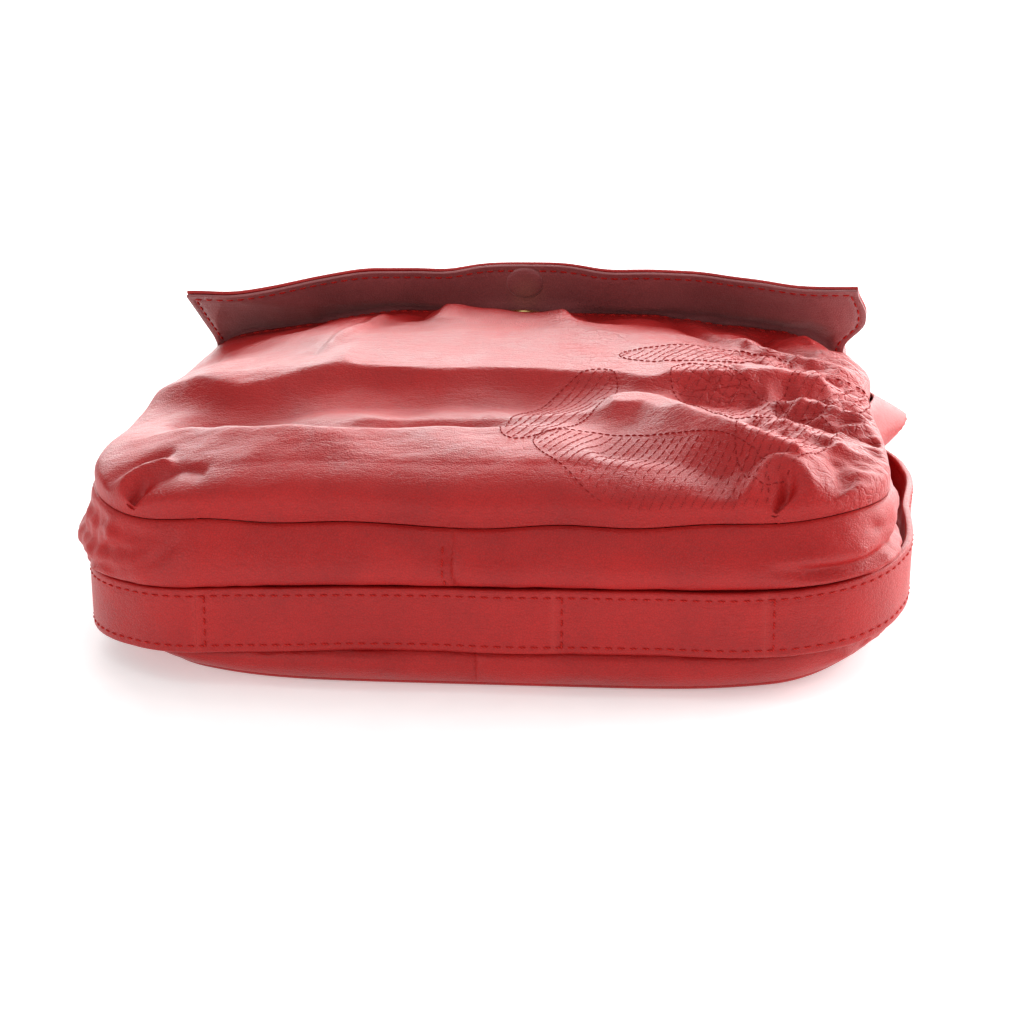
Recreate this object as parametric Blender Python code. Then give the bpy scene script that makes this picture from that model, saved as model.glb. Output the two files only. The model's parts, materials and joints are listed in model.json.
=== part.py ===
"""Crossbody purse of soft leather: a gusseted bag with a flap, lying on its back panel.

Metres, +Z up. +X is the bag's right as it lies, -Y its bottom and +Y its mouth.
The origin is the middle of the back panel's resting face. Every piece is one closed solid.
"""

import math

import bmesh
import bpy
from mathutils import Matrix, Vector

# ---- driving dimensions ----
GAP = 0.0003  # clearance between pieces that touch
BAG_BOTTOM_Y = -0.107  # seam along the bottom of both panels
BAG_MOUTH_Y = 0.103  # top edge of the back panel
FRONT_SHORTER = 0.003  # how much lower the mouth's front edge ends
HALF_WIDTH = 0.141  # panels, at their widest
MOUTH_HALF_WIDTH = 0.126
CORNER_RADIUS = 0.040  # bottom corners of the panels
GUSSET_DEPTH = 0.061  # width of the gusset, panel to panel
GUSSET_BULGE = 0.0065
CROWN = 0.0210  # how far the front panel swells above its seam
MOUTH_FALL = 0.5  # share of the crown that is gone at the mouth
LEATHER = 0.0016
LINING = 0.0008
FACING_WIDTH = 0.025
STRAP_WIDTH = 0.024  # base band and shoulder strap
STRAP_THICKNESS = 0.003
BAND_CENTRE_Z = 0.0275
BAND_JOINS_X = (-0.101, 0.024, 0.098)  # where the base band's lengths meet
RING_WIRE = 0.004
RING_INNER = 0.032  # inside diameter
RING_CLEARANCE = 0.0003
TAB_TAIL = 0.006  # straight part of a tab beyond its eye
FLAP_FRONT_LENGTH = 0.0170
FLAP_REST_LEAN = math.radians(20)  # how far the open flap's front part nods over the mouth
FLAP_BASE_HALF_WIDTH = 0.114
FLAP_EDGE_HALF_WIDTH = 0.136
FLAP_LINING = 0.0012
SNAP_DIAMETER = 0.014
SNAP_FROM_FOLD = 0.0092
SNAP_STUD_PLATE = 0.0014
SNAP_SOCKET_HEIGHT = 0.0022
SNAP_RECESS_DEPTH = 0.0012
SNAP_BOSS_RADIUS = 0.0024
SNAP_BOSS_CLEARANCE = 0.0012
STRAP_REST_CENTRE_Z = STRAP_WIDTH / 2

# The shoulder strap's route behind the bag, from the left ring to the right one:
# x, and y measured from the rings' centre line.
STRAP_ROUTE = (
    (-1.0, 0.034), (-1.0, 0.060), (-0.97, 0.082), (-0.80, 0.098), (-0.55, 0.099),
    (-0.20, 0.091), (0.15, 0.086), (0.52, 0.089), (0.76, 0.100), (0.82, 0.118),
    (0.71, 0.133), (0.38, 0.137), (0.0, 0.133), (-0.38, 0.134), (-0.72, 0.141),
    (-0.88, 0.154), (-0.87, 0.172), (-0.70, 0.184), (-0.35, 0.185), (0.0, 0.179),
    (0.35, 0.178), (0.65, 0.180), (0.86, 0.172), (0.97, 0.152), (1.0, 0.120),
    (1.0, 0.085), (1.0, 0.055), (1.0, 0.034),
)
STRAP_STEPS = 4  # samples between two route points
STRAP_CUTS = (0.36, 0.66)  # where its three lengths meet, as shares of the route
STRAP_DESCENT = 0.070  # length over which it comes down from the ring to the table

# ---- sizes that follow ----
BACK_TOP = LEATHER
GUSSET_LOW = BACK_TOP + GAP
GUSSET_HIGH = GUSSET_LOW + GUSSET_DEPTH
FRONT_LOW = GUSSET_HIGH + GAP
FRONT_MOUTH_Y = BAG_MOUTH_Y - FRONT_SHORTER
BAND_OFFSET = GUSSET_BULGE + GAP
RING_RADIUS = (RING_INNER + RING_WIRE) / 2
RING_X = MOUTH_HALF_WIDTH + BAND_OFFSET + STRAP_THICKNESS / 2
EYE_SLOT = RING_WIRE + 2 * RING_CLEARANCE
EYE_WALL = STRAP_THICKNESS / 2
EYE_FAR = RING_RADIUS + EYE_SLOT / 2
EYE_NEAR = math.sqrt((RING_INNER / 2) ** 2 - (STRAP_WIDTH / 2) ** 2) - 2 * RING_CLEARANCE
TAB_START = EYE_FAR + EYE_WALL + TAB_TAIL
RING_Y = BAG_MOUTH_Y + EYE_FAR + EYE_WALL + GAP
HINGE_Y = BAG_MOUTH_Y + GAP + LEATHER / 2
HINGE_Z = GAP + LEATHER / 2
BAND_LOW = BAND_CENTRE_Z - STRAP_WIDTH / 2
BAND_HIGH = BAND_CENTRE_Z + STRAP_WIDTH / 2


# Finishes: colour, roughness, metallic
RED_LEATHER = ((0.52, 0.035, 0.035), 0.42, 0.0)
UNDERSIDE_LEATHER = ((0.30, 0.02, 0.025), 0.45, 0.0)
LINING_CLOTH = ((0.16, 0.10, 0.085), 0.85, 0.0)
BRASS = ((0.72, 0.50, 0.20), 0.25, 1.0)


# ---- general shapes ----
def piece_material(name, finish):
    """A plain Principled material in the piece's own colour."""
    colour, roughness, metallic = finish
    material = bpy.data.materials.new(name)
    material.use_nodes = True
    shader = material.node_tree.nodes["Principled BSDF"]
    shader.inputs["Base Color"].default_value = (*colour, 1.0)
    shader.inputs["Roughness"].default_value = roughness
    shader.inputs["Metallic"].default_value = metallic
    return material


def add_piece(name, mesh_data, finish):
    """One object with its own material, from a finished bmesh."""
    bmesh.ops.recalc_face_normals(mesh_data, faces=mesh_data.faces)
    mesh = bpy.data.meshes.new(name)
    mesh_data.to_mesh(mesh)
    mesh_data.free()
    mesh.shade_smooth()
    mesh.set_sharp_from_angle(angle=math.radians(35))
    mesh.materials.append(piece_material(name, finish))
    piece = bpy.data.objects.new(name, mesh)
    bpy.context.scene.collection.objects.link(piece)


def tube_of_sections(sections):
    """A closed solid from equal closed sections, one after another, capped at both ends."""
    solid = bmesh.new()
    loops = [[solid.verts.new(point) for point in section] for section in sections]
    count = len(loops[0])
    for one, other in zip(loops, loops[1:]):
        for i in range(count):
            j = (i + 1) % count
            solid.faces.new((one[i], one[j], other[j], other[i]))
    solid.faces.new(loops[0])
    solid.faces.new(list(reversed(loops[-1])))
    return solid


def plate_of_grid(top, bottom):
    """A closed plate between two equal grids of points, [row][column]."""
    solid = bmesh.new()
    upper = [[solid.verts.new(point) for point in row] for row in top]
    lower = [[solid.verts.new(point) for point in row] for row in bottom]
    rows = len(top)
    columns = len(top[0])
    for i in range(rows - 1):
        for j in range(columns - 1):
            solid.faces.new((upper[i][j], upper[i][j + 1], upper[i + 1][j + 1], upper[i + 1][j]))
            solid.faces.new((lower[i][j], lower[i + 1][j], lower[i + 1][j + 1], lower[i][j + 1]))
    rim = [(0, j) for j in range(columns - 1)]
    rim += [(i, columns - 1) for i in range(rows - 1)]
    rim += [(rows - 1, j) for j in range(columns - 1, 0, -1)]
    rim += [(i, 0) for i in range(rows - 1, 0, -1)]
    for (a, b), (c, d) in zip(rim, rim[1:] + rim[:1]):
        solid.faces.new((upper[a][b], lower[a][b], lower[c][d], upper[c][d]))
    return solid


def extruded_outline(outline, hole, low, high):
    """A flat outline with one hole of as many points, extruded along Z."""
    solid = bmesh.new()
    count = len(outline)
    rings = {}
    for key, points in (("outer", outline), ("inner", hole)):
        rings[key] = [[solid.verts.new((x, y, z)) for x, y in points] for z in (low, high)]
    for i in range(count):
        j = (i + 1) % count
        (outer_low, outer_high), (inner_low, inner_high) = rings["outer"], rings["inner"]
        solid.faces.new((outer_low[i], outer_low[j], outer_high[j], outer_high[i]))
        solid.faces.new((inner_low[j], inner_low[i], inner_high[i], inner_high[j]))
        solid.faces.new((outer_high[i], outer_high[j], inner_high[j], inner_high[i]))
        solid.faces.new((outer_low[j], outer_low[i], inner_low[i], inner_low[j]))
    return solid


def turned(profile, place, segments=20):
    """A solid of revolution from (radius, height) pairs that start and end on the axis."""
    solid = bmesh.new()
    start = solid.verts.new((0, 0, profile[0][1]))
    end = solid.verts.new((0, 0, profile[-1][1]))
    circles = []
    for radius, height in profile[1:-1]:
        angles = [2 * math.pi * k / segments for k in range(segments)]
        circles.append([solid.verts.new((radius * math.cos(a), radius * math.sin(a), height)) for a in angles])
    for k in range(segments):
        m = (k + 1) % segments
        solid.faces.new((start, circles[0][k], circles[0][m]))
        solid.faces.new((end, circles[-1][m], circles[-1][k]))
        for one, other in zip(circles, circles[1:]):
            solid.faces.new((one[k], one[m], other[m], other[k]))
    bmesh.ops.transform(solid, matrix=place, verts=solid.verts)
    return solid


# ---- the bag's outline ----
def panel_rows(mouth_y, inset=0.0):
    """Rows (y, half width) of a panel's outline from its bottom seam to its mouth."""
    rows = []
    corner_y = BAG_BOTTOM_Y + CORNER_RADIUS
    radius = CORNER_RADIUS - inset
    for step in range(8):
        angle = math.radians(90 * step / 7)
        rows.append((corner_y - radius * math.cos(angle), HALF_WIDTH - CORNER_RADIUS + radius * math.sin(angle)))
    side_steps = 9
    for step in range(1, side_steps + 1):
        share = step / side_steps
        taper = (HALF_WIDTH - MOUTH_HALF_WIDTH) * (3 * share ** 2 - 2 * share ** 3)
        rows.append((corner_y + (mouth_y - corner_y) * share, HALF_WIDTH - inset - taper))
    return rows


def outline_path(mouth_y):
    """Right half of the seam: from the middle of the bottom, round the corner, to the mouth."""
    rows = panel_rows(mouth_y)
    straight = HALF_WIDTH - CORNER_RADIUS
    path = [(straight * step / 6, rows[0][0]) for step in range(6)]
    path += [(half, y) for y, half in rows]
    return path


def outward_normals(path):
    """Normals of an open path in XY, to its right as it runs."""
    normals = []
    for i in range(len(path)):
        before = path[max(i - 1, 0)]
        after = path[min(i + 1, len(path) - 1)]
        dx = after[0] - before[0]
        dy = after[1] - before[1]
        length = math.hypot(dx, dy)
        normals.append((dy / length, -dx / length))
    return normals


def offset_path(path, distance):
    return [(x + nx * distance, y + ny * distance) for (x, y), (nx, ny) in zip(path, outward_normals(path))]


def crown_share(y):
    """How much of the crown the front panel has at y: full in the middle, little at the mouth."""
    length = FRONT_MOUTH_Y - BAG_BOTTOM_Y
    along = (y - BAG_BOTTOM_Y) / length
    rise = math.sin(min(along / 0.30, 1.0) * math.pi / 2)
    fall = 1.0 - MOUTH_FALL * max(0.0, (along - 0.70) / 0.30) ** 1.3
    return rise * fall


def front_height(x, y, half):
    """Height of the front panel's underside."""
    across = min(abs(x) / half, 1.0)
    return FRONT_LOW + CROWN * crown_share(y) * (1 - across ** 2) ** 0.8


def panel_grid(rows, height):
    """Points of a panel's surface over the outline's rows."""
    columns = 16
    grid = []
    for y, half in rows:
        row = []
        for column in range(columns + 1):
            x = half * math.sin(math.pi * (column / columns - 0.5))
            row.append((x, y, height(x, y, half)))
        grid.append(row)
    return grid


def shifted(grid, rise):
    return [[(x, y, z + rise) for x, y, z in row] for row in grid]


def within_rows(rows, low_y, high_y):
    """Rows between two y values, with a row interpolated at each end."""
    def half_at(y):
        for (y0, h0), (y1, h1) in zip(rows, rows[1:]):
            if y0 <= y <= y1:
                return h0 + (h1 - h0) * (y - y0) / (y1 - y0)
        return rows[-1][1]

    kept = [(y, half) for y, half in rows if low_y + 0.001 < y < high_y - 0.001]
    return [(low_y, half_at(low_y))] + kept + [(high_y, half_at(high_y))]


# ---- body of the bag ----
LINING_INSET = LEATHER + GAP + LINING + GAP


def make_panels():
    back = panel_grid(panel_rows(BAG_MOUTH_Y), lambda x, y, half: 0.0)
    add_piece("back_panel", plate_of_grid(shifted(back, LEATHER), back), RED_LEATHER)
    front = panel_grid(panel_rows(FRONT_MOUTH_Y), front_height)
    add_piece("front_panel", plate_of_grid(shifted(front, LEATHER), front), RED_LEATHER)


def make_linings():
    """Thin cloth inside the panels, and a leather facing along each side of the mouth."""
    rows = panel_rows(FRONT_MOUTH_Y, LINING_INSET)
    facing_y = FRONT_MOUTH_Y - FACING_WIDTH
    cloth_rows = within_rows(rows, rows[0][0], facing_y - GAP)
    facing_rows = within_rows(rows, facing_y, FRONT_MOUTH_Y)
    under = -GAP - LINING

    def floor_height(x, y, half):
        return GUSSET_LOW

    for name, piece_rows, finish in (
        ("lining_back", cloth_rows, LINING_CLOTH),
        ("back_facing", facing_rows, UNDERSIDE_LEATHER),
    ):
        low = panel_grid(piece_rows, floor_height)
        add_piece(name, plate_of_grid(shifted(low, LINING), low), finish)
    for name, piece_rows, finish in (
        ("lining_front", cloth_rows, LINING_CLOTH),
        ("front_facing", facing_rows, UNDERSIDE_LEATHER),
    ):
        high = panel_grid(piece_rows, front_height)
        add_piece(name, plate_of_grid(shifted(high, -GAP), shifted(high, under)), finish)


def gusset_sections(path, offset, thickness, low, high, bulge, levels=6):
    """Sections of a wall that stands on the path and bulges outwards between its edges."""
    normals = outward_normals(path)
    sections = []
    for (x, y), (nx, ny) in zip(path, normals):
        outer = []
        inner = []
        for level in range(levels + 1):
            share = level / levels
            z = low + (high - low) * share
            out = offset + bulge * math.sin(math.pi * share)
            outer.append((x + nx * out, y + ny * out, z))
            inner.append((x + nx * (out - thickness), y + ny * (out - thickness), z))
        sections.append(outer + list(reversed(inner)))
    return sections


def mirrored(sections):
    return [[(-x, y, z) for x, y, z in section] for section in sections]


def seamed(path):
    """The half path drawn back from the bottom's middle, where both halves meet."""
    return [(max(x, GAP / 2), y) for x, y in path]


def make_gussets():
    path = seamed(outline_path(FRONT_MOUTH_Y))
    leather = gusset_sections(path, 0.0, LEATHER, GUSSET_LOW, GUSSET_HIGH, GUSSET_BULGE)
    low = GUSSET_LOW + LINING + GAP
    high = GUSSET_HIGH - LINING - GAP
    bulge = GUSSET_BULGE * 0.9
    cloth = gusset_sections(path, -LEATHER - GAP, LINING, low, high, bulge)
    for side, change in (("right", list), ("left", mirrored)):
        add_piece("gusset_" + side, tube_of_sections(change(leather)), RED_LEATHER)
        add_piece("lining_gusset_" + side, tube_of_sections(change(cloth)), LINING_CLOTH)


# ---- base band round the gusset ----
def whole_band_path():
    """Middle line of the base band from the left tab, round the bottom, to the right tab."""
    middle = BAND_OFFSET + STRAP_THICKNESS / 2
    right = offset_path(outline_path(BAG_MOUTH_Y), middle)
    end_y = RING_Y - TAB_START - GAP
    right = [point for point in right if point[1] < end_y - 0.002]
    right.append((RING_X, end_y))
    left = [(-x, y) for x, y in reversed(right)]
    return left[:-1] + right


def path_lengths(path):
    lengths = [0.0]
    for a, b in zip(path, path[1:]):
        lengths.append(lengths[-1] + math.dist(a, b))
    return lengths


def cut_path(path, start, end):
    """The stretch of a path between two lengths along it."""
    lengths = path_lengths(path)

    def at(length):
        for i in range(len(path) - 1):
            if lengths[i] <= length <= lengths[i + 1]:
                share = (length - lengths[i]) / (lengths[i + 1] - lengths[i])
                return tuple(p + (q - p) * share for p, q in zip(path[i], path[i + 1]))
        return path[-1]

    inside = [point for point, s in zip(path, lengths) if start + 0.0008 < s < end - 0.0008]
    return [at(start)] + inside + [at(end)]


def length_at_x(path, x):
    """Length along the band where its bottom stretch passes x."""
    lengths = path_lengths(path)
    low_y = BAG_BOTTOM_Y + CORNER_RADIUS
    for i in range(len(path) - 1):
        (x0, y0), (x1, _) = path[i], path[i + 1]
        if y0 < low_y and x0 <= x <= x1:
            return lengths[i] + (lengths[i + 1] - lengths[i]) * (x - x0) / (x1 - x0)
    raise ValueError("the band's bottom stretch doesn't pass this x")


def strap_sections(path, heights):
    """Sections of a flat strap on edge, its width along Z, about a middle line."""
    sections = []
    half = STRAP_THICKNESS / 2
    for (x, y), (nx, ny), z in zip(path, outward_normals(path), heights):
        low = z - STRAP_WIDTH / 2
        high = z + STRAP_WIDTH / 2
        section = [
            (x + nx * half, y + ny * half, low),
            (x + nx * half, y + ny * half, high),
            (x - nx * half, y - ny * half, high),
            (x - nx * half, y - ny * half, low),
        ]
        sections.append(section)
    return sections


def make_base_band():
    path = whole_band_path()
    total = path_lengths(path)[-1]
    cuts = [0.0] + [length_at_x(path, x) for x in BAND_JOINS_X] + [total]
    names = ("band_left", "band_bottom_left", "band_bottom_right", "band_right")
    for name, start, end in zip(names, cuts, cuts[1:]):
        first = start + (GAP / 2 if start > 0 else 0.0)
        last = end - (GAP / 2 if end < total else 0.0)
        stretch = cut_path(path, first, last)
        sections = strap_sections(stretch, [BAND_CENTRE_Z] * len(stretch))
        add_piece(name, tube_of_sections(sections), RED_LEATHER)


# ---- tabs and rings ----
def eye_outline(half_width, near, far, arc_steps=6):
    """A slot with round ends along Y, or the leather round it, in the tab's own plane."""
    points = []
    for centre, start in ((far - half_width, 0), (near + half_width, 180)):
        for step in range(arc_steps + 1):
            angle = math.radians(start + 180 * step / arc_steps)
            points.append((half_width * math.cos(angle), centre + half_width * math.sin(angle)))
    return points


def tab_solid(side, direction, centre_z):
    """A folded leather end round a ring's wire: an eye with a short doubled tail."""
    slot = eye_outline(EYE_SLOT / 2, EYE_NEAR, EYE_FAR)
    outer = eye_outline(EYE_SLOT / 2 + EYE_WALL, EYE_NEAR - EYE_WALL, EYE_FAR + EYE_WALL)
    tail_half = STRAP_THICKNESS / 2
    for index, (x, y) in enumerate(outer):
        if y > EYE_FAR - EYE_SLOT / 2 and abs(x) <= tail_half * 1.5:
            outer[index] = (max(-tail_half, min(tail_half, x)), TAB_START if abs(x) < tail_half else y)
    place = [(side * RING_X + x, RING_Y + direction * y) for x, y in outer]
    hole = [(side * RING_X + x, RING_Y + direction * y) for x, y in slot]
    return extruded_outline(place, hole, centre_z - STRAP_WIDTH / 2, centre_z + STRAP_WIDTH / 2)


def make_ring(name, side):
    bpy.ops.mesh.primitive_torus_add(
        location=(side * RING_X, RING_Y, BAND_CENTRE_Z),
        rotation=(0, math.pi / 2, 0),
        major_segments=28,
        minor_segments=8,
        major_radius=RING_RADIUS,
        minor_radius=RING_WIRE / 2,
    )
    ring = bpy.context.object
    ring.name = name
    ring.data.name = name
    ring.data.shade_smooth()
    ring.data.materials.append(piece_material(name, BRASS))


def make_tabs_and_rings():
    for name, side in (("left", -1), ("right", 1)):
        add_piece("tab_" + name, tab_solid(side, -1, BAND_CENTRE_Z), RED_LEATHER)
        add_piece("strap_end_" + name, tab_solid(side, 1, BAND_CENTRE_Z), RED_LEATHER)
        make_ring("ring_" + name, side)


# ---- shoulder strap ----
def smooth_route(points, steps):
    """A Catmull-Rom curve through the points."""
    padded = [points[0]] + list(points) + [points[-1]]
    curve = []
    for p0, p1, p2, p3 in zip(padded, padded[1:], padded[2:], padded[3:]):
        for step in range(steps):
            t = step / steps
            point = []
            for a, b, c, d in zip(p0, p1, p2, p3):
                value = 2 * b + (c - a) * t + (2 * a - 5 * b + 4 * c - d) * t ** 2
                point.append((value + (3 * b - a - 3 * c + d) * t ** 3) / 2)
            curve.append(tuple(point))
    curve.append(tuple(points[-1]))
    return curve


def strap_height(length, total):
    """Height of the strap's middle line: the ring's at both ends, and on the table between."""
    from_end = min(length, total - length)
    share = min(from_end / STRAP_DESCENT, 1.0)
    drop = share ** 2 * (3 - 2 * share)
    return BAND_CENTRE_Z + (STRAP_REST_CENTRE_Z - BAND_CENTRE_Z) * drop


def strap_route():
    points = [(x * RING_X, RING_Y + y) for x, y in STRAP_ROUTE]
    start = RING_Y + TAB_START + GAP
    points[0] = (points[0][0], start)
    points[-1] = (points[-1][0], start)
    return smooth_route(points, STRAP_STEPS)


def make_shoulder_strap():
    route = strap_route()
    flat_total = path_lengths(route)[-1]
    path = [(x, y, strap_height(s, flat_total)) for (x, y), s in zip(route, path_lengths(route))]
    total = path_lengths(path)[-1]
    cuts = [0.0] + [share * total for share in STRAP_CUTS] + [total]
    names = ("strap_left", "strap_middle", "strap_right")
    for name, start, end in zip(names, cuts, cuts[1:]):
        first = start + (GAP / 2 if start > 0 else 0.0)
        last = end - (GAP / 2 if end < total else 0.0)
        stretch = cut_path(path, first, last)
        flat = [(x, y) for x, y, z in stretch]
        sections = strap_sections(flat, [z for x, y, z in stretch])
        add_piece(name, tube_of_sections(sections), RED_LEATHER)


# ---- flap ----
# Closed, the flap's front part slopes as the front panel does under the snap, and its fold is as
# high as lets the two halves of the snap meet on the panel.
FLAP_INNER_FACE = LEATHER / 2 + GAP + FLAP_LINING  # underside leather's face, from the hinge's plane
FLAP_BEND_ROOM = FLAP_INNER_FACE + GAP  # what the underside leather leaves free at the fold
SNAP_STACK = FLAP_INNER_FACE + SNAP_STUD_PLATE + SNAP_SOCKET_HEIGHT + 3 * GAP


def front_surface(y):
    """Height of the front panel's outer face along its middle."""
    return front_height(0.0, y, HALF_WIDTH) + LEATHER


def closed_tilt():
    middle = HINGE_Y - SNAP_FROM_FOLD
    reach = SNAP_DIAMETER / 2
    return math.atan((front_surface(middle - reach) - front_surface(middle + reach)) / (2 * reach))


FLAP_CLOSED_TILT = closed_tilt()
SNAP_Y = HINGE_Y - SNAP_FROM_FOLD * math.cos(FLAP_CLOSED_TILT) - SNAP_STACK * math.sin(FLAP_CLOSED_TILT)
SNAP_RISE = SNAP_STACK * math.cos(FLAP_CLOSED_TILT) - SNAP_FROM_FOLD * math.sin(FLAP_CLOSED_TILT)
FOLD_Z = front_surface(SNAP_Y) + SNAP_RISE + GAP
FLAP_TOP_LENGTH = FOLD_Z - HINGE_Z  # part of the flap that spans the mouth


def fold_turn(angle):
    """The turn of the flap's front part about its fold, forwards from upright."""
    axis = Vector((0, HINGE_Y, FOLD_Z))
    return Matrix.Translation(axis) @ Matrix.Rotation(angle, 4, "X") @ Matrix.Translation(-axis)


def flap_half_width(height):
    """Half width of the flap at a distance from its hinge."""
    whole = FLAP_TOP_LENGTH + FLAP_FRONT_LENGTH
    return FLAP_BASE_HALF_WIDTH + (FLAP_EDGE_HALF_WIDTH - FLAP_BASE_HALF_WIDTH) * height / whole


def flap_sheet(name, start, end, inner, outer, finish, rounded=False, lean=0.0):
    """An upright layer of the flap between two heights over its hinge.

    inner and outer are its faces' distances behind the hinge's plane. A rounded layer's lower
    edge is a half round about the axis at its start. lean turns it forwards about the fold.
    """
    columns = 12
    half_thickness = (outer - inner) / 2
    middle = (outer + inner) / 2
    section = []
    if rounded:
        for step in range(7):
            angle = math.pi * step / 6
            section.append((middle + half_thickness * math.cos(angle), start - half_thickness * math.sin(angle)))
    else:
        section += [(outer, start), (inner, start)]
    middle_height = (start + end) / 2
    section += [(inner, middle_height), (inner, end), (outer, end), (outer, middle_height)]
    sections = []
    for column in range(columns + 1):
        share = 2 * column / columns - 1
        points = []
        for back, height in section:
            points.append((share * flap_half_width(height), HINGE_Y + back, HINGE_Z + height))
        sections.append(points)
    solid = tube_of_sections(sections)
    bmesh.ops.transform(solid, matrix=fold_turn(lean), verts=solid.verts)
    add_piece(name, solid, finish)


def make_flap():
    half = LEATHER / 2
    fold = FLAP_TOP_LENGTH
    end = FLAP_TOP_LENGTH + FLAP_FRONT_LENGTH
    under = -LEATHER / 2 - GAP
    inner = -FLAP_INNER_FACE
    lean = FLAP_REST_LEAN
    room = FLAP_BEND_ROOM
    flap_sheet("flap_top_outer", 0.0, fold - half - GAP, -half, half, RED_LEATHER, rounded=True)
    flap_sheet("flap_front_outer", fold, end, -half, half, RED_LEATHER, rounded=True, lean=lean)
    flap_sheet("flap_top_lining", half, fold - room, inner, under, UNDERSIDE_LEATHER)
    flap_sheet("flap_front_lining", fold + room, end, inner, under, UNDERSIDE_LEATHER, lean=lean)


# ---- magnetic snap ----
def snap_on_flap(turn):
    """The stud's place on the flap's underside, its +Z towards the bag, at a turn of the fold."""
    y = HINGE_Y - FLAP_INNER_FACE - GAP
    upright = Matrix.Translation((0, y, FOLD_Z + SNAP_FROM_FOLD)) @ Matrix.Rotation(math.pi / 2, 4, "X")
    return fold_turn(turn) @ upright


def make_snap():
    radius = SNAP_DIAMETER / 2
    boss = SNAP_BOSS_RADIUS
    plate = SNAP_STUD_PLATE
    boss_top = plate + SNAP_RECESS_DEPTH - GAP
    stud = [(0, 0), (radius, 0), (radius, plate * 0.6), (radius * 0.9, plate)]
    stud += [(boss, plate), (boss, boss_top), (0, boss_top)]
    add_piece("snap_stud", turned(stud, snap_on_flap(FLAP_REST_LEAN)), BRASS)
    mouth = boss + SNAP_BOSS_CLEARANCE
    top = SNAP_SOCKET_HEIGHT
    floor = top - SNAP_RECESS_DEPTH
    socket = [(0, 0), (radius, 0), (radius, top * 0.6), (radius * 0.9, top), (mouth, top)]
    socket += [(mouth, floor), (0, floor)]
    drop = plate + GAP + top
    closed = snap_on_flap(math.pi / 2 - FLAP_CLOSED_TILT)
    place = closed @ Matrix.Translation((0, 0, drop)) @ Matrix.Rotation(math.pi, 4, "X")
    add_piece("snap_socket", turned(socket, place), BRASS)


def clear_scene():
    for piece in list(bpy.data.objects):
        bpy.data.objects.remove(piece, do_unlink=True)


def main():
    clear_scene()
    make_panels()
    make_linings()
    make_gussets()
    make_base_band()
    make_tabs_and_rings()
    make_shoulder_strap()
    make_flap()
    make_snap()


main()
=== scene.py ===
"""Looks of the crossbody purse: soft red leather, stitching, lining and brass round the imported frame."""
import json
import math

import bpy
import numpy as np
from mathutils import Matrix, Vector


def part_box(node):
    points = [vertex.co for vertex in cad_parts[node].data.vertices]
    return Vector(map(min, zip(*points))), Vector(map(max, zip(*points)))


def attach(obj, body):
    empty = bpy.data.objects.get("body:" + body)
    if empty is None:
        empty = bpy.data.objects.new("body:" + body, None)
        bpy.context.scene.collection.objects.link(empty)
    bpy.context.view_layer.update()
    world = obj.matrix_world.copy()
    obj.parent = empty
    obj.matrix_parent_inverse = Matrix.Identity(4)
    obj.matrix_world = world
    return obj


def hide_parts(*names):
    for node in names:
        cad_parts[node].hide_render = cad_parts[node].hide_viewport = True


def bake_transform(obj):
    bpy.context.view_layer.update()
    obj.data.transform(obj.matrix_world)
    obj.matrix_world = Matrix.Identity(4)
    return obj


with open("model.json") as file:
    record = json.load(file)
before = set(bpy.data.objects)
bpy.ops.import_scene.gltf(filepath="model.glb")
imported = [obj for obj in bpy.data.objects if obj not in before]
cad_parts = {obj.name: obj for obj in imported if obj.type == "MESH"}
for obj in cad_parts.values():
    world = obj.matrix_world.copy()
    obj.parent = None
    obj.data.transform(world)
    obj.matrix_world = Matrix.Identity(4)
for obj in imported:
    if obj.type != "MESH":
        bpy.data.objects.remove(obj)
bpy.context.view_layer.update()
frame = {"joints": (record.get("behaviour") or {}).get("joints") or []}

MM = 0.001

# ---- places and sizes from the frame ----
BACK_LOW, BACK_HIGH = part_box("back_panel")
HALF_WIDTH = BACK_HIGH.x
BOTTOM_Y = BACK_LOW.y
MOUTH_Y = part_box("front_panel")[1].y
FLAP_Y = (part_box("flap_top_outer")[0].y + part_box("flap_top_outer")[1].y) / 2
SEAM_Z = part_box("gusset_left")[1].z
BAND_LOW, BAND_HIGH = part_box("band_bottom_left")
BAND_Z = (BAND_LOW.z + BAND_HIGH.z) / 2
STRAP_WIDTH = BAND_HIGH.z - BAND_LOW.z
STRAP_THICKNESS = BAND_HIGH.y - BAND_LOW.y
BAND_OFFSET = BOTTOM_Y - BAND_HIGH.y + STRAP_THICKNESS / 2
BAND_JOINS = (BAND_LOW.x, BAND_HIGH.x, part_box("band_bottom_right")[1].x)
RING_LOW, RING_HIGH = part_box("ring_right")
RING_CENTRE = (RING_LOW + RING_HIGH) / 2
RING_WIRE = RING_HIGH.x - RING_LOW.x
RING_RADIUS = (RING_HIGH.z - RING_LOW.z - RING_WIRE) / 2
MOUTH_HALF = RING_CENTRE.x - BAND_OFFSET
TAB_LOW_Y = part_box("tab_right")[0].y
END_HIGH_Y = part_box("strap_end_right")[1].y
JOINTS = {joint["name"]: joint for joint in frame["joints"]}
FOLD_Z = JOINTS["flap_fold"]["pos_m"][2]
HINGE_Z = JOINTS["flap_hinge"]["pos_m"][2]
SNAP_LOW, SNAP_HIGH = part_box("snap_socket")
SNAP_Y = (SNAP_LOW.y + SNAP_HIGH.y) / 2
SNAP_Z = (SNAP_LOW.z + SNAP_HIGH.z) / 2 - 0.0013

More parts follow.
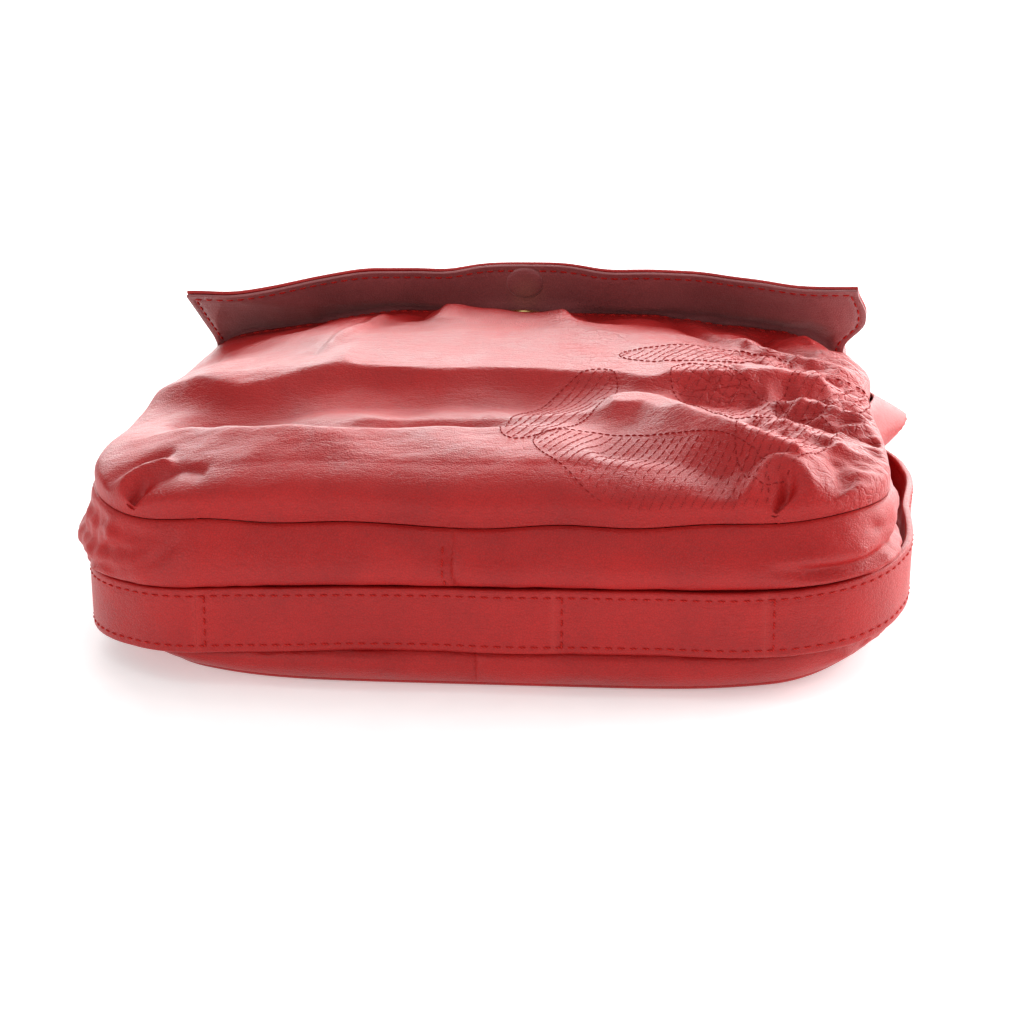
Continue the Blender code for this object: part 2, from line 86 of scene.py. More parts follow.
# ---- sizes of the soft shapes ----
CORNER = 40 * MM  # radius of the panels' bottom corners
CORNER_Y = BOTTOM_Y + CORNER  # where the corners end and the sides begin
STRAIGHT = HALF_WIDTH - CORNER  # half of the bottom's straight part
LEATHER = 1.4 * MM
FOLDED_FLAP_Z = 77.2 * MM  # how low the flap's edge comes when it is folded down
CORNER_LIFT = 0.36  # how far a drawn-in corner rises off the table, as a share of its pull
RIM_CROWN = 0.25  # how far a skin's cut edge bulges, as a share of its thickness
STITCH_PITCH = 4.2 * MM
STITCH_INSET = 2.7 * MM


# ---- numeric helpers ----
def smooth(low, high, value):
    """0 below low, 1 above high, with an eased rise between."""
    share = np.clip((value - low) / (high - low), 0.0, 1.0)
    return share * share * (3 - 2 * share)


def hump(value, width):
    """1 at a value of 0, falling smoothly to nothing on both sides."""
    return np.exp(-(value / width) ** 2)


def waves(x, y, size, seed, count=14):
    """A smooth field of about unit height whose features are size across."""
    rng = np.random.default_rng(seed)
    total = np.zeros(np.broadcast(x, y).shape)
    for _ in range(count):
        angle = rng.uniform(0, 2 * math.pi)
        stretch = rng.uniform(0.6, 1.7)
        phase = rng.uniform(0, 2 * math.pi)
        total += np.sin((x * math.cos(angle) + y * math.sin(angle)) * 2 * math.pi * stretch / size + phase)
    return total / math.sqrt(count)


def smooth_points(points, steps=10):
    """A Catmull-Rom curve through points of any dimension."""
    points = np.asarray(points, float)
    padded = np.vstack([points[:1], points, points[-1:]])
    curve = []
    for a, b, c, d in zip(padded, padded[1:], padded[2:], padded[3:]):
        for t in np.linspace(0, 1, steps, endpoint=False):
            value = 2 * b + (c - a) * t + (2 * a - 5 * b + 4 * c - d) * t ** 2
            curve.append((value + (3 * b - a - 3 * c + d) * t ** 3) / 2)
    curve.append(points[-1])
    return np.array(curve)


def lengths_of(path):
    return np.concatenate([[0.0], np.cumsum(np.linalg.norm(np.diff(path, axis=0), axis=1))])


def at_lengths(path, wanted, lengths=None):
    """A path's coordinates at lengths along it, as one array for each axis."""
    lengths = lengths_of(path) if lengths is None else lengths
    return [np.interp(wanted, lengths, column) for column in path.T]


def resampled(path, spacing):
    """Evenly spaced points along a path."""
    total = lengths_of(path)[-1]
    wanted = np.linspace(0, total, max(int(round(total / spacing)) + 1, 2))
    return np.stack(at_lengths(path, wanted), axis=1)


def middles(total, pitch):
    """The middles of the equal parts, about a pitch long, that a length divides into."""
    count = max(int(total / pitch), 1)
    return (np.arange(count) + 0.5) * total / count


def rotated(x, y, angle):
    return x * math.cos(angle) - y * math.sin(angle), x * math.sin(angle) + y * math.cos(angle)


def strap_frame(points):
    """Unit directions along a flat path and square to it, to its right."""
    tangent = np.gradient(points, axis=0)
    tangent /= np.linalg.norm(tangent, axis=1, keepdims=True)
    return tangent, np.stack([tangent[:, 1], -tangent[:, 0]], axis=1)


def stroke(x, y, points, width, height, back_width=None, taper=0.16, power=1.5):
    """A fold drawn along a line: a rounded ridge, or a valley where height is negative.

    width is its reach on the line's left, back_width on its right; it fades out at both ends.
    """
    line = smooth_points(np.asarray(points) * MM, 8)
    total = lengths_of(line)
    best = np.full(x.shape, 1e9)
    signed = np.zeros(x.shape)
    along = np.zeros(x.shape)
    for (ax, ay), (bx, by), start in zip(line, line[1:], total):
        dx, dy = bx - ax, by - ay
        length = math.hypot(dx, dy)
        if length < 1e-9:
            continue
        t = np.clip(((x - ax) * dx + (y - ay) * dy) / length ** 2, 0, 1)
        ox, oy = x - ax - t * dx, y - ay - t * dy
        distance = np.hypot(ox, oy)
        nearer = distance < best
        best = np.where(nearer, distance, best)
        side = np.sign(dx * oy - dy * ox)
        signed = np.where(nearer, side * distance, signed)
        along = np.where(nearer, start + t * length, along)
    share = along / total[-1]
    fade = smooth(0, taper, share) * smooth(0, taper, 1 - share)
    reach = np.where(signed >= 0, width, back_width or width) * MM
    return height * MM * fade * np.exp(-(best / reach) ** power)


# ---- outline of the panels ----
def row_half(y):
    """Half width of the panels' outline at y."""
    below = np.clip(CORNER_Y - y, 0, CORNER)
    round_part = STRAIGHT + np.sqrt(np.maximum(CORNER ** 2 - below ** 2, 0))
    share = np.clip((y - CORNER_Y) / (MOUTH_Y - CORNER_Y), 0, 1)
    return round_part - (HALF_WIDTH - MOUTH_HALF) * (3 * share ** 2 - 2 * share ** 3)


def inside_distance(x, y):
    """Distance in from the outline's bottom and sides."""
    plain = np.minimum(row_half(y) - np.abs(x), y - BOTTOM_Y)
    round_corner = CORNER - np.hypot(np.abs(x) - STRAIGHT, CORNER_Y - y)
    return np.maximum(np.where((y < CORNER_Y) & (np.abs(x) > STRAIGHT), round_corner, plain), 0)


def half_outline():
    """The seam from the middle of the bottom round the right corner to the mouth."""
    angles = np.linspace(0, math.pi / 2, 24)
    bottom = np.stack([np.linspace(0, STRAIGHT, 30)[:-1], np.full(29, BOTTOM_Y)], axis=1)
    corner = np.stack([STRAIGHT + CORNER * np.sin(angles), CORNER_Y - CORNER * np.cos(angles)], axis=1)
    side_y = np.linspace(CORNER_Y, MOUTH_Y, 50)[1:]
    side = np.stack([row_half(side_y), side_y], axis=1)
    return np.vstack([bottom, corner, side])


HALF_OUTLINE = half_outline()
HALF_LENGTH = lengths_of(HALF_OUTLINE)[-1]


def outline_at(s):
    """Point and outward normal of the seam at a signed length from the bottom's middle, + to the right."""
    distance = np.abs(s)
    x, y = at_lengths(HALF_OUTLINE, distance)
    y = y + np.maximum(distance - HALF_LENGTH, 0)
    step = 1.5 * MM
    ahead = at_lengths(HALF_OUTLINE, np.minimum(distance + step, HALF_LENGTH))
    behind = at_lengths(HALF_OUTLINE, np.clip(distance - step, 0, HALF_LENGTH - step))
    tx, ty = ahead[0] - behind[0], ahead[1] - behind[1]
    size = np.hypot(tx, ty)
    side = np.where(s < 0, -1.0, 1.0)
    return x * side, y, ty / size * side, -tx / size


def seam_shift(s):
    """How far slouching carries the seam out: a fold at the right of the mouth and a full left corner."""
    right = 9.0 * hump(s - HALF_LENGTH + 0.045, 0.030)
    left = 2.5 * hump(s + 0.150, 0.035)
    return (right + left) * MM + 0.6 * MM * waves(s, 0, 0.055, 12, 6)


def corner_pull(s):
    """How far the bag's bottom corners are drawn in over the table, where nothing fills them."""
    return hump(np.abs(s) - 0.140, 0.042) * np.where(s < 0, 13.0, 10.0) * MM


# ---- shape of the front panel ----
def seam_height(x, y):
    """The front seam rises towards the right and sinks a little at the mouth."""
    right = smooth(0.03, 0.13, x)
    towards_mouth = smooth(-0.02, 0.10, y)
    level = SEAM_Z + (-2.5 + 6.0 * right * (1 - towards_mouth) - 4.0 * towards_mouth) * MM
    return level + 0.7 * MM * waves(x, y, 0.07, 2, 8)


FOLDS = (
    # points in mm, reach on the left of the line, height, reach on the right
    (((-136, -62), (-114, -60), (-84, -70), (-60, -73), (-39, -68), (8, -62), (40, -64)), 7, 3.4, 9),
    (((-128, -40), (-96, -46), (-60, -56), (-30, -54), (10, -50)), 8, -3.0, 8),
    (((-64, -50), (-40, -48), (-10, -46), (24, -45), (42, -34), (54, -24)), 9, 2.4, 6),
    (((30, -44), (41, -42), (52, -36), (66, -53), (80, -68), (94, -80), (108, -88), (122, -92)), 9, 8.0, 10),
    (((32, -76), (54, -80), (74, -89), (90, -98)), 14, -4.2, 9),
    (((88, -42), (102, -54), (116, -66), (130, -78)), 6, 3.2, 6),
    (((-142, 8), (-120, -6), (-100, -17), (-84, -13), (-68, -6), (-47, -3), (3, -3), (44, -5), (62, -14)),
     24, 6.0, 7.5),
    (((-126, -32), (-96, -38), (-60, -29), (-10, -25), (36, -25)), 9, -2.0, 10),
    (((42, -16), (58, -9), (80, -6), (106, 0), (128, -2)), 14, 4.6, 5),
    (((60, -18), (84, -18), (112, -20)), 7, -3.2, 8),
    (((-76, 4), (-70, 36), (-60, 70), (-52, 96)), 2.2, -1.8, 3),
    (((-72, 8), (-64, 42), (-52, 84)), 7, 2.2, 2.4),
    (((-44, 108), (-39, 88), (-41, 64)), 2.2, -3.2, 6),
    (((-33, 108), (-29, 86), (-33, 56)), 8, 3.4, 2.4),
    (((34, 108), (28, 88), (31, 66)), 6, -3.0, 2.4),
    (((23, 108), (17, 86), (21, 56)), 2.4, 3.4, 7),
    (((60, 106), (64, 80), (80, 46)), 3.4, -3.0, 6),
    (((-84, 106), (-84, 84), (-92, 56)), 5, -2.4, 3.4),
    (((100, 96), (98, 66), (110, 38)), 3.4, -3.6, 6),
    (((112, 90), (112, 60), (124, 30)), 5, 3.4, 5),
    (((80, 56), (102, 34), (130, 24)), 7, 3.6, 3.4),
    (((86, 24), (104, 14), (132, 12)), 3, -3.0, 5),
    (((90, -18), (110, -26), (134, -36)), 5, 3.6, 3.2),
    (((98, -8), (116, -12), (136, -16)), 3, -2.8, 4),
    (((98, -30), (116, -42), (138, -52)), 3.4, -3.4, 4),
    # gathers at the bottom corners
    (((-114, -114), (-120, -102), (-121, -95), (-116, -90)), 2.2, -7.5, 2.8),
    (((-125, -106), (-127, -95), (-121, -87), (-110, -86)), 3.0, 3.2, 3.4),
    (((-118, -93), (-108, -90), (-98, -94)), 3, -1.8, 3),
    (((-132, -92), (-126, -82), (-112, -76)), 3, -2.0, 3),
    (((102, -114), (100, -104), (103, -98), (106, -95)), 1.6, -8.5, 2.2),
    (((90, -108), (92, -98), (99, -92), (109, -95), (112, -103)), 3, 2.6, 3),
    (((85, -108), (87, -97), (96, -89), (108, -90)), 2, -1.8, 2.4),
    (((116, -104), (120, -92), (118, -80)), 2.4, -2.2, 3),
)


SWELL = (
    # y in mm, and how far the panel stands over its seam's roll there, in mm, along its middle
    (-107, 0), (-101, 3.5), (-94, 7.5), (-86, 10.0), (-76, 11.0), (-62, 10.0), (-48, 8.8), (-35, 8.4),
    (-25, 8.8), (-15, 10.4), (-5, 13.0), (6, 15.0), (28, 16.4), (55, 15.2), (80, 12.2), (100, 9.4),
)


def plain_height(x, y):
    """Height of the front panel's outer face before its folds."""
    swell_y, swell_z = smooth_points(SWELL, 6).T * MM
    distance = inside_distance(x, y)
    roll = 9.5 * MM * np.sqrt(np.clip(1 - (1 - np.minimum(distance / (20 * MM), 1)) ** 2, 0, 1))
    across = np.clip(np.abs(x) / row_half(y), 0, 1)
    return seam_height(x, y) + roll + np.interp(y, swell_y, swell_z) * (1 - across ** 3.2)


def front_height(x, y):
    """Height of the front panel's outer face."""
    height = plain_height(x, y)
    edge = smooth(0, 9 * MM, inside_distance(x, y))
    near_mouth = 1 - 0.6 * smooth(0.078, 0.094, y)
    folds = np.zeros(x.shape)
    for points, left, rise, right in FOLDS:
        folds += stroke(x, y, points, left, rise, right)
    folds += 0.9 * MM * waves(x, y, 0.085, 3) + 0.30 * MM * waves(x, y, 0.030, 5)
    crinkled = smooth(0.06, 0.11, x) * smooth(0.010, 0.060, x + 0.8 * y)
    crinkles = 0.65 * MM * waves(x, y, 0.016, 8) + 0.40 * MM * waves(x, y, 0.009, 9)
    height = height + (folds + crinkles * (0.10 + crinkled)) * edge * near_mouth
    over_mouth = smooth(0.010, 0.078, y) * (1 - smooth(0.03, 0.12, np.abs(x + 0.012)))
    around_snap = 1 - np.exp(-((x / 0.011) ** 2 + ((y - SNAP_Y) / 0.012) ** 2) ** 2)
    height = height + 3.6 * MM * over_mouth * around_snap
    height = np.where(around_snap < 0.999, np.minimum(height, SNAP_Z + 40 * MM * around_snap), height)
    height = height - 3.0 * MM * smooth(0.078, 0.097, y) * np.exp(-((x + 0.095) / 0.04) ** 4)
    room = 9 * (1 - smooth(0.079, 0.087, y)) + 12 * smooth(0.055, 0.085, np.abs(x))
    return np.minimum(height, FOLDED_FLAP_Z + room * MM)


def panel_grid(columns, rows, inset=0.0, top=MOUTH_Y, bottom=BOTTOM_Y):
    """Places over a panel's plan, closer together near its seam."""
    v = np.linspace(0, 1, rows)
    y = bottom + (top - bottom) * (1 - np.cos(v * math.pi / 2))
    across = np.sin(np.linspace(-1, 1, columns) * math.pi / 2)
    x = across[None, :] * (row_half(y) - inset)[:, None]
    return x, np.repeat(y[:, None], columns, axis=1)


# ---- meshes ----
def link(name, vertices, faces, material):
    mesh = bpy.data.meshes.new(name)
    mesh.from_pydata([tuple(v) for v in vertices], [], [tuple(f) for f in faces])
    mesh.materials.append(material)
    mesh.shade_smooth()
    piece = bpy.data.objects.new(name, mesh)
    bpy.context.scene.collection.objects.link(piece)
    return piece


def grid_faces(rows, columns):
    index = np.arange(rows * columns).reshape(rows, columns)
    quads = np.stack([index[:-1, :-1], index[:-1, 1:], index[1:, 1:], index[1:, :-1]], axis=-1)
    return quads.reshape(-1, 4)


def grid_normals(points):
    du = np.gradient(points, axis=1)
    dv = np.gradient(points, axis=0)
    normals = np.cross(du, dv)
    return normals / np.maximum(np.linalg.norm(normals, axis=-1, keepdims=True), 1e-12)


def shell(name, points, thickness, material):
    """A closed skin: the grid is its outer face, and its edges are rounded over."""
    rows, columns = points.shape[:2]
    count = rows * columns
    normals = grid_normals(points)
    inner = points - normals * thickness
    middle = points - normals * thickness / 2
    faces = grid_faces(rows, columns)
    ring = [(0, j) for j in range(columns)]
    ring += [(i, columns - 1) for i in range(1, rows)]
    ring += [(rows - 1, j) for j in range(columns - 2, -1, -1)]
    ring += [(i, 0) for i in range(rows - 2, 0, -1)]
    rim = []
    for i, j in ring:
        out = points[i, j] - points[min(max(i, 1), rows - 2), min(max(j, 1), columns - 2)]
        size = np.linalg.norm(out)
        rim.append(middle[i, j] + out / max(size, 1e-9) * thickness * RIM_CROWN)
    sides = []
    for k, (i, j) in enumerate(ring):
        m = (k + 1) % len(ring)
        here, after = i * columns + j, ring[m][0] * columns + ring[m][1]
        rim_here, rim_after = 2 * count + k, 2 * count + m
        sides.append((after, here, rim_here, rim_after))
        sides.append((rim_after, rim_here, count + here, count + after))
    vertices = np.vstack([points.reshape(-1, 3), inner.reshape(-1, 3), rim])
    return link(name, vertices, np.vstack([faces, faces[:, ::-1] + count, sides]), material)


def strip_sections(path, heights, thickness, tilt=0.0, edge=0.45 * MM):
    """Sections of a strap on edge whose faces dip along both rows of stitches."""
    normal = strap_frame(path)[1]
    half_width, half = STRAP_WIDTH / 2, thickness / 2
    v = np.array([0.5, 0.70, 0.775, 0.85, 0.92, 0.975, 1.0])
    v = np.concatenate([-v[::-1], [0.0], v])
    dip = 0.28 * MM * hump(np.abs(v) - 0.775, 0.06)
    round_edge = edge * np.array([1.6, 0.7, 0.15] + [0.0] * 9 + [0.15, 0.7, 1.6])
    out = half - dip - round_edge
    loop_out = np.concatenate([out, -out[::-1]])
    loop_up = np.concatenate([v, v[::-1]]) * half_width
    tilt = np.broadcast_to(tilt, (len(path),))
    sections = []
    for (x, y), (nx, ny), z, lean in zip(path, normal, heights, tilt):
        across, up = rotated(loop_out, loop_up, -lean)
        sections.append(np.stack([x + nx * across, y + ny * across, z + up], axis=1))
    return np.array(sections)


def tube(name, sections, material):
    """A closed solid from equal closed sections."""
    count = sections.shape[1]
    last = (len(sections) - 1) * count
    faces = []
    for base in range(0, last, count):
        for j in range(count):
            a, b = base + j, base + (j + 1) % count
            faces.append((a, a + count, b + count, b))
    for j in range(count // 2 - 1):
        cap = (j, j + 1, count - 2 - j, count - 1 - j)
        faces.append(cap)
        faces.append(tuple(last + k for k in reversed(cap)))
    piece = link(name, sections.reshape(-1, 3), faces, material)
    piece.data.set_sharp_from_angle(angle=math.radians(60))
    return piece


def stitch_mesh(name, centres, along, up, material, length=3.0 * MM, radius=0.40 * MM):
    """Many short stitches as one mesh: each is a small arch of thread lying on the leather."""
    centres, along, up = (np.asarray(a, float).reshape(-1, 3) for a in (centres, along, up))
    along = along / np.linalg.norm(along, axis=1, keepdims=True)
    up = up - along * (up * along).sum(axis=1, keepdims=True)
    up = up / np.linalg.norm(up, axis=1, keepdims=True)
    side = np.cross(along, up)
    # place along the stitch, thickness, and lift off the leather
    stations = (
        (-1.0, 0.25, -0.7), (-0.72, 0.85, 0.05), (0.0, 1.0, 0.35), (0.72, 0.85, 0.05), (1.0, 0.25, -0.7),
    )
    around = 6
    length = np.broadcast_to(length, (len(centres),))[:, None]
    rings = []
    for t, thick, lift in stations:
        middle = centres + along * t * length / 2 + up * lift * radius
        for k in range(around):
            angle = 2 * math.pi * k / around
            rings.append(middle + (side * math.cos(angle) + up * math.sin(angle)) * radius * thick)
    vertices = np.stack(rings, axis=1).reshape(-1, 3)
    last = (len(stations) - 1) * around
    pattern = []
    for a in range(0, last, around):
        for k in range(around):
            m = (k + 1) % around
            pattern.append((a + k, a + m, a + around + m, a + around + k))
    pattern.append(tuple(reversed(range(around))))
    pattern.append(tuple(range(last, last + around)))
    bases = range(0, len(vertices), last + around)
    faces = [tuple(base + k for k in face) for base in bases for face in pattern]
    return link(name, vertices, faces, material)


# ---- materials ----
def node_material(name):
    material = bpy.data.materials.new(name)
    material.use_nodes = True
    tree = material.node_tree
    return material, tree, tree.nodes["Principled BSDF"]


def set_inputs(tree, node, inputs):
    """Link each input to a socket, or set its value."""
    for key, value in dict(inputs).items():
        if isinstance(value, bpy.types.NodeSocket):
            tree.links.new(value, node.inputs[key])
        else:
            node.inputs[key].default_value = value


def add_node(tree, kind, inputs=(), **settings):
    node = tree.nodes.new("ShaderNode" + kind)
    for key, value in settings.items():
        setattr(node, key, value)
    set_inputs(tree, node, inputs)
    return node.outputs


def ramp(tree, value, *stops):
    """A colour ramp. A stop is a place and a colour, or one number for a grey."""
    node = tree.nodes.new("ShaderNodeValToRGB")
    tree.links.new(value, node.inputs["Fac"])
    elements = node.color_ramp.elements
    while len(elements) < len(stops):
        elements.new(0.5)
    for element, (place, colour) in zip(elements, stops):
        element.position = place
        element.color = (*(colour if hasattr(colour, "__len__") else (colour,) * 3), 1.0)
    return node.outputs["Color"]


def math_node(tree, operation, a, b):
    return add_node(tree, "Math", {0: a, 1: b}, operation=operation)["Value"]


def weighted(tree, total, *others):
    """A value plus each other value times its weight."""
    for value, weight in others:
        total = math_node(tree, "ADD", total, math_node(tree, "MULTIPLY", value, weight))
    return total


def noise(tree, place, scale, detail=2.0, roughness=0.5):
    inputs = {"Vector": place, "Scale": scale, "Detail": detail, "Roughness": roughness}
    return add_node(tree, "TexNoise", inputs)


def mapped(tree, value, low, high, to_low, to_high):
    inputs = {"Value": value, "From Min": low, "From Max": high, "To Min": to_low, "To Max": to_high}
    return add_node(tree, "MapRange", inputs)["Result"]


def shifted_cells(tree, place, nudge, by, squeeze, scale):
    """Distance to the edges of cells whose place is nudged by a noise."""
    inputs = {"Fac": by, "Color1": place, "Color2": nudge["Color"]}
    moved = add_node(tree, "MixRGB", inputs, blend_type="ADD")["Color"]
    if squeeze != 1.0:
        moved = add_node(tree, "Mapping", {"Vector": moved, "Scale": (squeeze, 1.0, 1.0)})["Vector"]
    inputs = {"Vector": moved, "Scale": scale}
    return add_node(tree, "TexVoronoi", inputs, feature="DISTANCE_TO_EDGE")["Distance"]


def bump(tree, height, strength, distance, **more):
    inputs = {"Strength": strength, "Distance": distance, "Height": height, **more}
    return add_node(tree, "Bump", inputs)["Normal"]


def crinkles(tree, place, strength):
    """Fine broken creases where the leather is crushed, strongest at the bag's right side."""
    cells = shifted_cells(tree, place, noise(tree, place, 55.0, 4.0), 0.024, 0.55, 200.0)
    creases = ramp(tree, cells, (0.0, 0), (0.10, 0.75), (0.35, 1))
    parts = add_node(tree, "SeparateXYZ", {"Vector": place})
    across = weighted(tree, parts["X"], (parts["Y"], 0.8))
    side = mapped(tree, across, 0.015, 0.075, 0.12, 1.0)
    where = ramp(tree, noise(tree, place, 26.0)["Fac"], (0.38, 0.15), (0.62, 1))
    amount = math_node(tree, "MULTIPLY", math_node(tree, "MULTIPLY", side, where), strength)
    return bump(tree, creases, amount, 0.0006)


def leather(name, colour, deep, edge_highlight, roughness=0.40, sheen=0.01, coat=0.03, crinkle=0.0):
    """Pebbled leather: cells and hair creases in relief, mottled colour, painted shade in the grain's
    valleys and a painted highlight on raised edges.
    """
    material, tree, shader = node_material(name)
    place = add_node(tree, "TexCoord")["Object"]
    cells = shifted_cells(tree, place, noise(tree, place, 260.0), 0.0016, 1.0, 1050.0)
    pebble = ramp(tree, cells, (0.0, 0), (0.22, 0.8), (0.6, 1))
    fine = noise(tree, place, 2600.0, 3.0)["Fac"]
    crease = noise(tree, place, 170.0, 5.0, 0.62)["Fac"]
    stretched = add_node(tree, "Mapping", {"Vector": place, "Scale": (0.28, 1.0, 1.0)})["Vector"]
    hairs = ramp(tree, noise(tree, stretched, 330.0, 4.0)["Fac"], (0.44, 1), (0.50, 0), (0.56, 1))
    relief = weighted(tree, pebble, (fine, 0.55), (crease, 3.4), (hairs, 0.8))
    under = {"Normal": crinkles(tree, place, crinkle)} if crinkle else {}
    mottle = noise(tree, place, 34.0, 6.0, 0.6)["Fac"]
    tone = ramp(tree, mottle, (0.30, deep), (0.62, colour))
    # painted shade: the grain's valleys darken the base colour
    valley = ramp(tree, pebble, (0.0, 0.55), (0.5, 1))
    inputs = {"Fac": 0.55, "Color1": tone, "Color2": valley}
    shaded = add_node(tree, "MixRGB", inputs, blend_type="MULTIPLY")["Color"]
    # painted highlight: convex edges, found by pointiness, are turned paler, broken up by the crease noise
    lit_edges = ramp(tree, add_node(tree, "NewGeometry")["Pointiness"], (0.53, 0), (0.60, 1))
    broken = math_node(tree, "MULTIPLY", lit_edges, math_node(tree, "MULTIPLY", crease, 0.3))
    inputs = {"Fac": broken, "Color1": shaded, "Color2": (*edge_highlight, 1)}
    set_inputs(tree, shader, {
        "Base Color": add_node(tree, "MixRGB", inputs)["Color"],
        "Normal": bump(tree, relief, 0.4, 0.00022, **under),
        "Roughness": mapped(tree, mottle, 0.3, 0.7, roughness - 0.06, roughness + 0.08),
        "Sheen Weight": sheen,
        "Sheen Roughness": 0.45,
        "Sheen Tint": (1.0, 0.62, 0.60, 1.0),
        "Coat Weight": coat,
        "Coat Roughness": 0.35,
        "Specular IOR Level": 0.3,
    })
    return material


def thread(name, colour, light):
    """Waxed twisted thread: two shades along a fine diagonal twist."""
    material, tree, shader = node_material(name)
    inputs = {"Vector": add_node(tree, "TexCoord")["Object"], "Scale": 520.0, "Distortion": 1.2}
    twist = add_node(tree, "TexWave", inputs, bands_direction="DIAGONAL")["Fac"]
    set_inputs(tree, shader, {
        "Base Color": ramp(tree, twist, (0.2, colour), (0.8, light)),
        "Normal": bump(tree, twist, 0.6, 0.0001),
        "Roughness": 0.6,
        "Specular IOR Level": 0.15,
    })
    return material


def woven(name, colour, dark):
    """Plain woven lining: warp and weft in relief with a slubby, uneven tone."""
    material, tree, shader = node_material(name)
    place = add_node(tree, "TexCoord")["Object"]
    inputs = {"Vector": place, "Scale": 560.0}
    warp, weft = (add_node(tree, "TexWave", inputs, bands_direction=way)["Fac"] for way in "XY")
    cloth = math_node(tree, "MULTIPLY", warp, weft)
    slubs = math_node(tree, "MULTIPLY", cloth, noise(tree, place, 420.0, 4.0)["Fac"])
    set_inputs(tree, shader, {
        "Base Color": ramp(tree, slubs, (0.05, dark), (0.45, colour)),
        "Normal": bump(tree, cloth, 0.5, 0.0002),
        "Roughness": 0.85,
        "Sheen Weight": 0.3,
    })
    return material


def brass(name):
    """Polished brass with fine scratches and faint tarnish."""
    material, tree, shader = node_material(name)
    place = add_node(tree, "TexCoord")["Object"]
    tarnish = noise(tree, place, 140.0, 6.0)["Fac"]
    scratch = noise(tree, place, 1900.0)["Fac"]
    set_inputs(tree, shader, {
        "Base Color": ramp(tree, tarnish, (0.35, (0.52, 0.33, 0.11)), (0.60, (0.80, 0.57, 0.24))),
        "Roughness": ramp(tree, scratch, (0.35, 0.14), (0.75, 0.38)),
        "Normal": bump(tree, scratch, 0.15, 0.0001),
        "Metallic": 1.0,
    })
    return material


# each: the leather's red, a deeper mottled red, and the paler red of the painted highlight on raised edges
REDS = ((0.45, 0.011, 0.010), (0.35, 0.007, 0.007), (0.58, 0.06, 0.05))
# the flap underside's reds: the same red leather painted darker for the shade under the flap, and paler in
# green and blue as a painted sheen; the mouth facings and the snap cover share them
SHADE_AND_SHEEN_REDS = ((0.33, 0.088, 0.090), (0.25, 0.064, 0.066), (0.47, 0.17, 0.16))
RED = leather("red_leather", *REDS)
FRONT_RED = leather("front_leather", *REDS, crinkle=0.9)
UNDERSIDE = leather("underside_leather", *SHADE_AND_SHEEN_REDS, roughness=0.32, sheen=0.3, coat=0.25)
LINING = woven("lining_cloth", (0.17, 0.10, 0.085), (0.06, 0.035, 0.03))
BRASS = brass("brass")
RED_THREAD = thread("red_thread", (0.30, 0.006, 0.005), (0.52, 0.016, 0.012))
DARK_THREAD = thread("dark_thread", (0.22, 0.008, 0.008), (0.34, 0.016, 0.016))
FINE_THREAD = thread("fine_thread", (0.24, 0.010, 0.010), (0.40, 0.030, 0.028))


def finish_piece(piece, body=None, nodes=()):
    if body:
        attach(piece, body)
    if nodes:
        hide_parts(*nodes)
    return piece


def sew(name, rows, body="bag"):
    """One mesh of stitches from rows of (places, directions, ways up)."""
    places, along, up = (np.vstack(part) for part in zip(*rows))
    return finish_piece(stitch_mesh(name, places, along, up, RED_THREAD), body)


# ---- front panel ----
def push_out(x, y, distance, reach, amount):
    """How far the panel's roll swells out over its seam."""
    share = np.clip(distance / reach, 0, 1)
    s = seam_length(x, y)
    swell = amount * np.sin(share * math.pi) * (1 - share * 0.4)
    swell = swell + seam_shift(s) * (1 - smooth(0, 34 * MM, distance))
    _, _, nx, ny = outline_at(s)
    return nx * swell, ny * swell


def seam_length(x, y):
    """Signed length along the seam of the outline point nearest to a point near the edge."""
    ax = np.abs(x)
    angle = np.arctan2(np.maximum(ax - STRAIGHT, 0), np.maximum(CORNER_Y - y, 1e-9))
    on_corner = STRAIGHT + CORNER * angle
    on_side = STRAIGHT + CORNER * math.pi / 2 + (y - CORNER_Y) * 1.004  # the sides lean a little
    length = np.where(y > CORNER_Y, on_side, np.where(ax > STRAIGHT, on_corner, ax))
    near_bottom = (y - BOTTOM_Y) < (row_half(y) - ax)
    length = np.where((ax <= STRAIGHT) & ~near_bottom & (y <= CORNER_Y), on_corner, length)
    return length * np.where(x < 0, -1, 1)


def front_place(x, y):
    """Where the front panel's face lies for places on its plan."""
    ox, oy = push_out(x, y, inside_distance(x, y), 15 * MM, 5.5 * MM)
    near_mouth = 1 - 0.5 * smooth(0.05, 0.10, y)
    return np.stack([x + ox * near_mouth, y + oy * near_mouth, front_height(x, y)], axis=-1)


def make_front_panel():
    panel = shell("front_panel_skin", front_place(*panel_grid(241, 181)), LEATHER, FRONT_RED)
    finish_piece(panel, "bag", ["front_panel"])


def surface_frames(xy):
    """Points and normals of the front panel's face over given places."""
    step = 0.8 * MM
    x, y = xy.T
    dx = front_place(x + step, y) - front_place(x - step, y)
    dy = front_place(x, y + step) - front_place(x, y - step)
    normals = np.cross(dx, dy)
    normals /= np.linalg.norm(normals, axis=1, keepdims=True)
    return front_place(x, y), normals


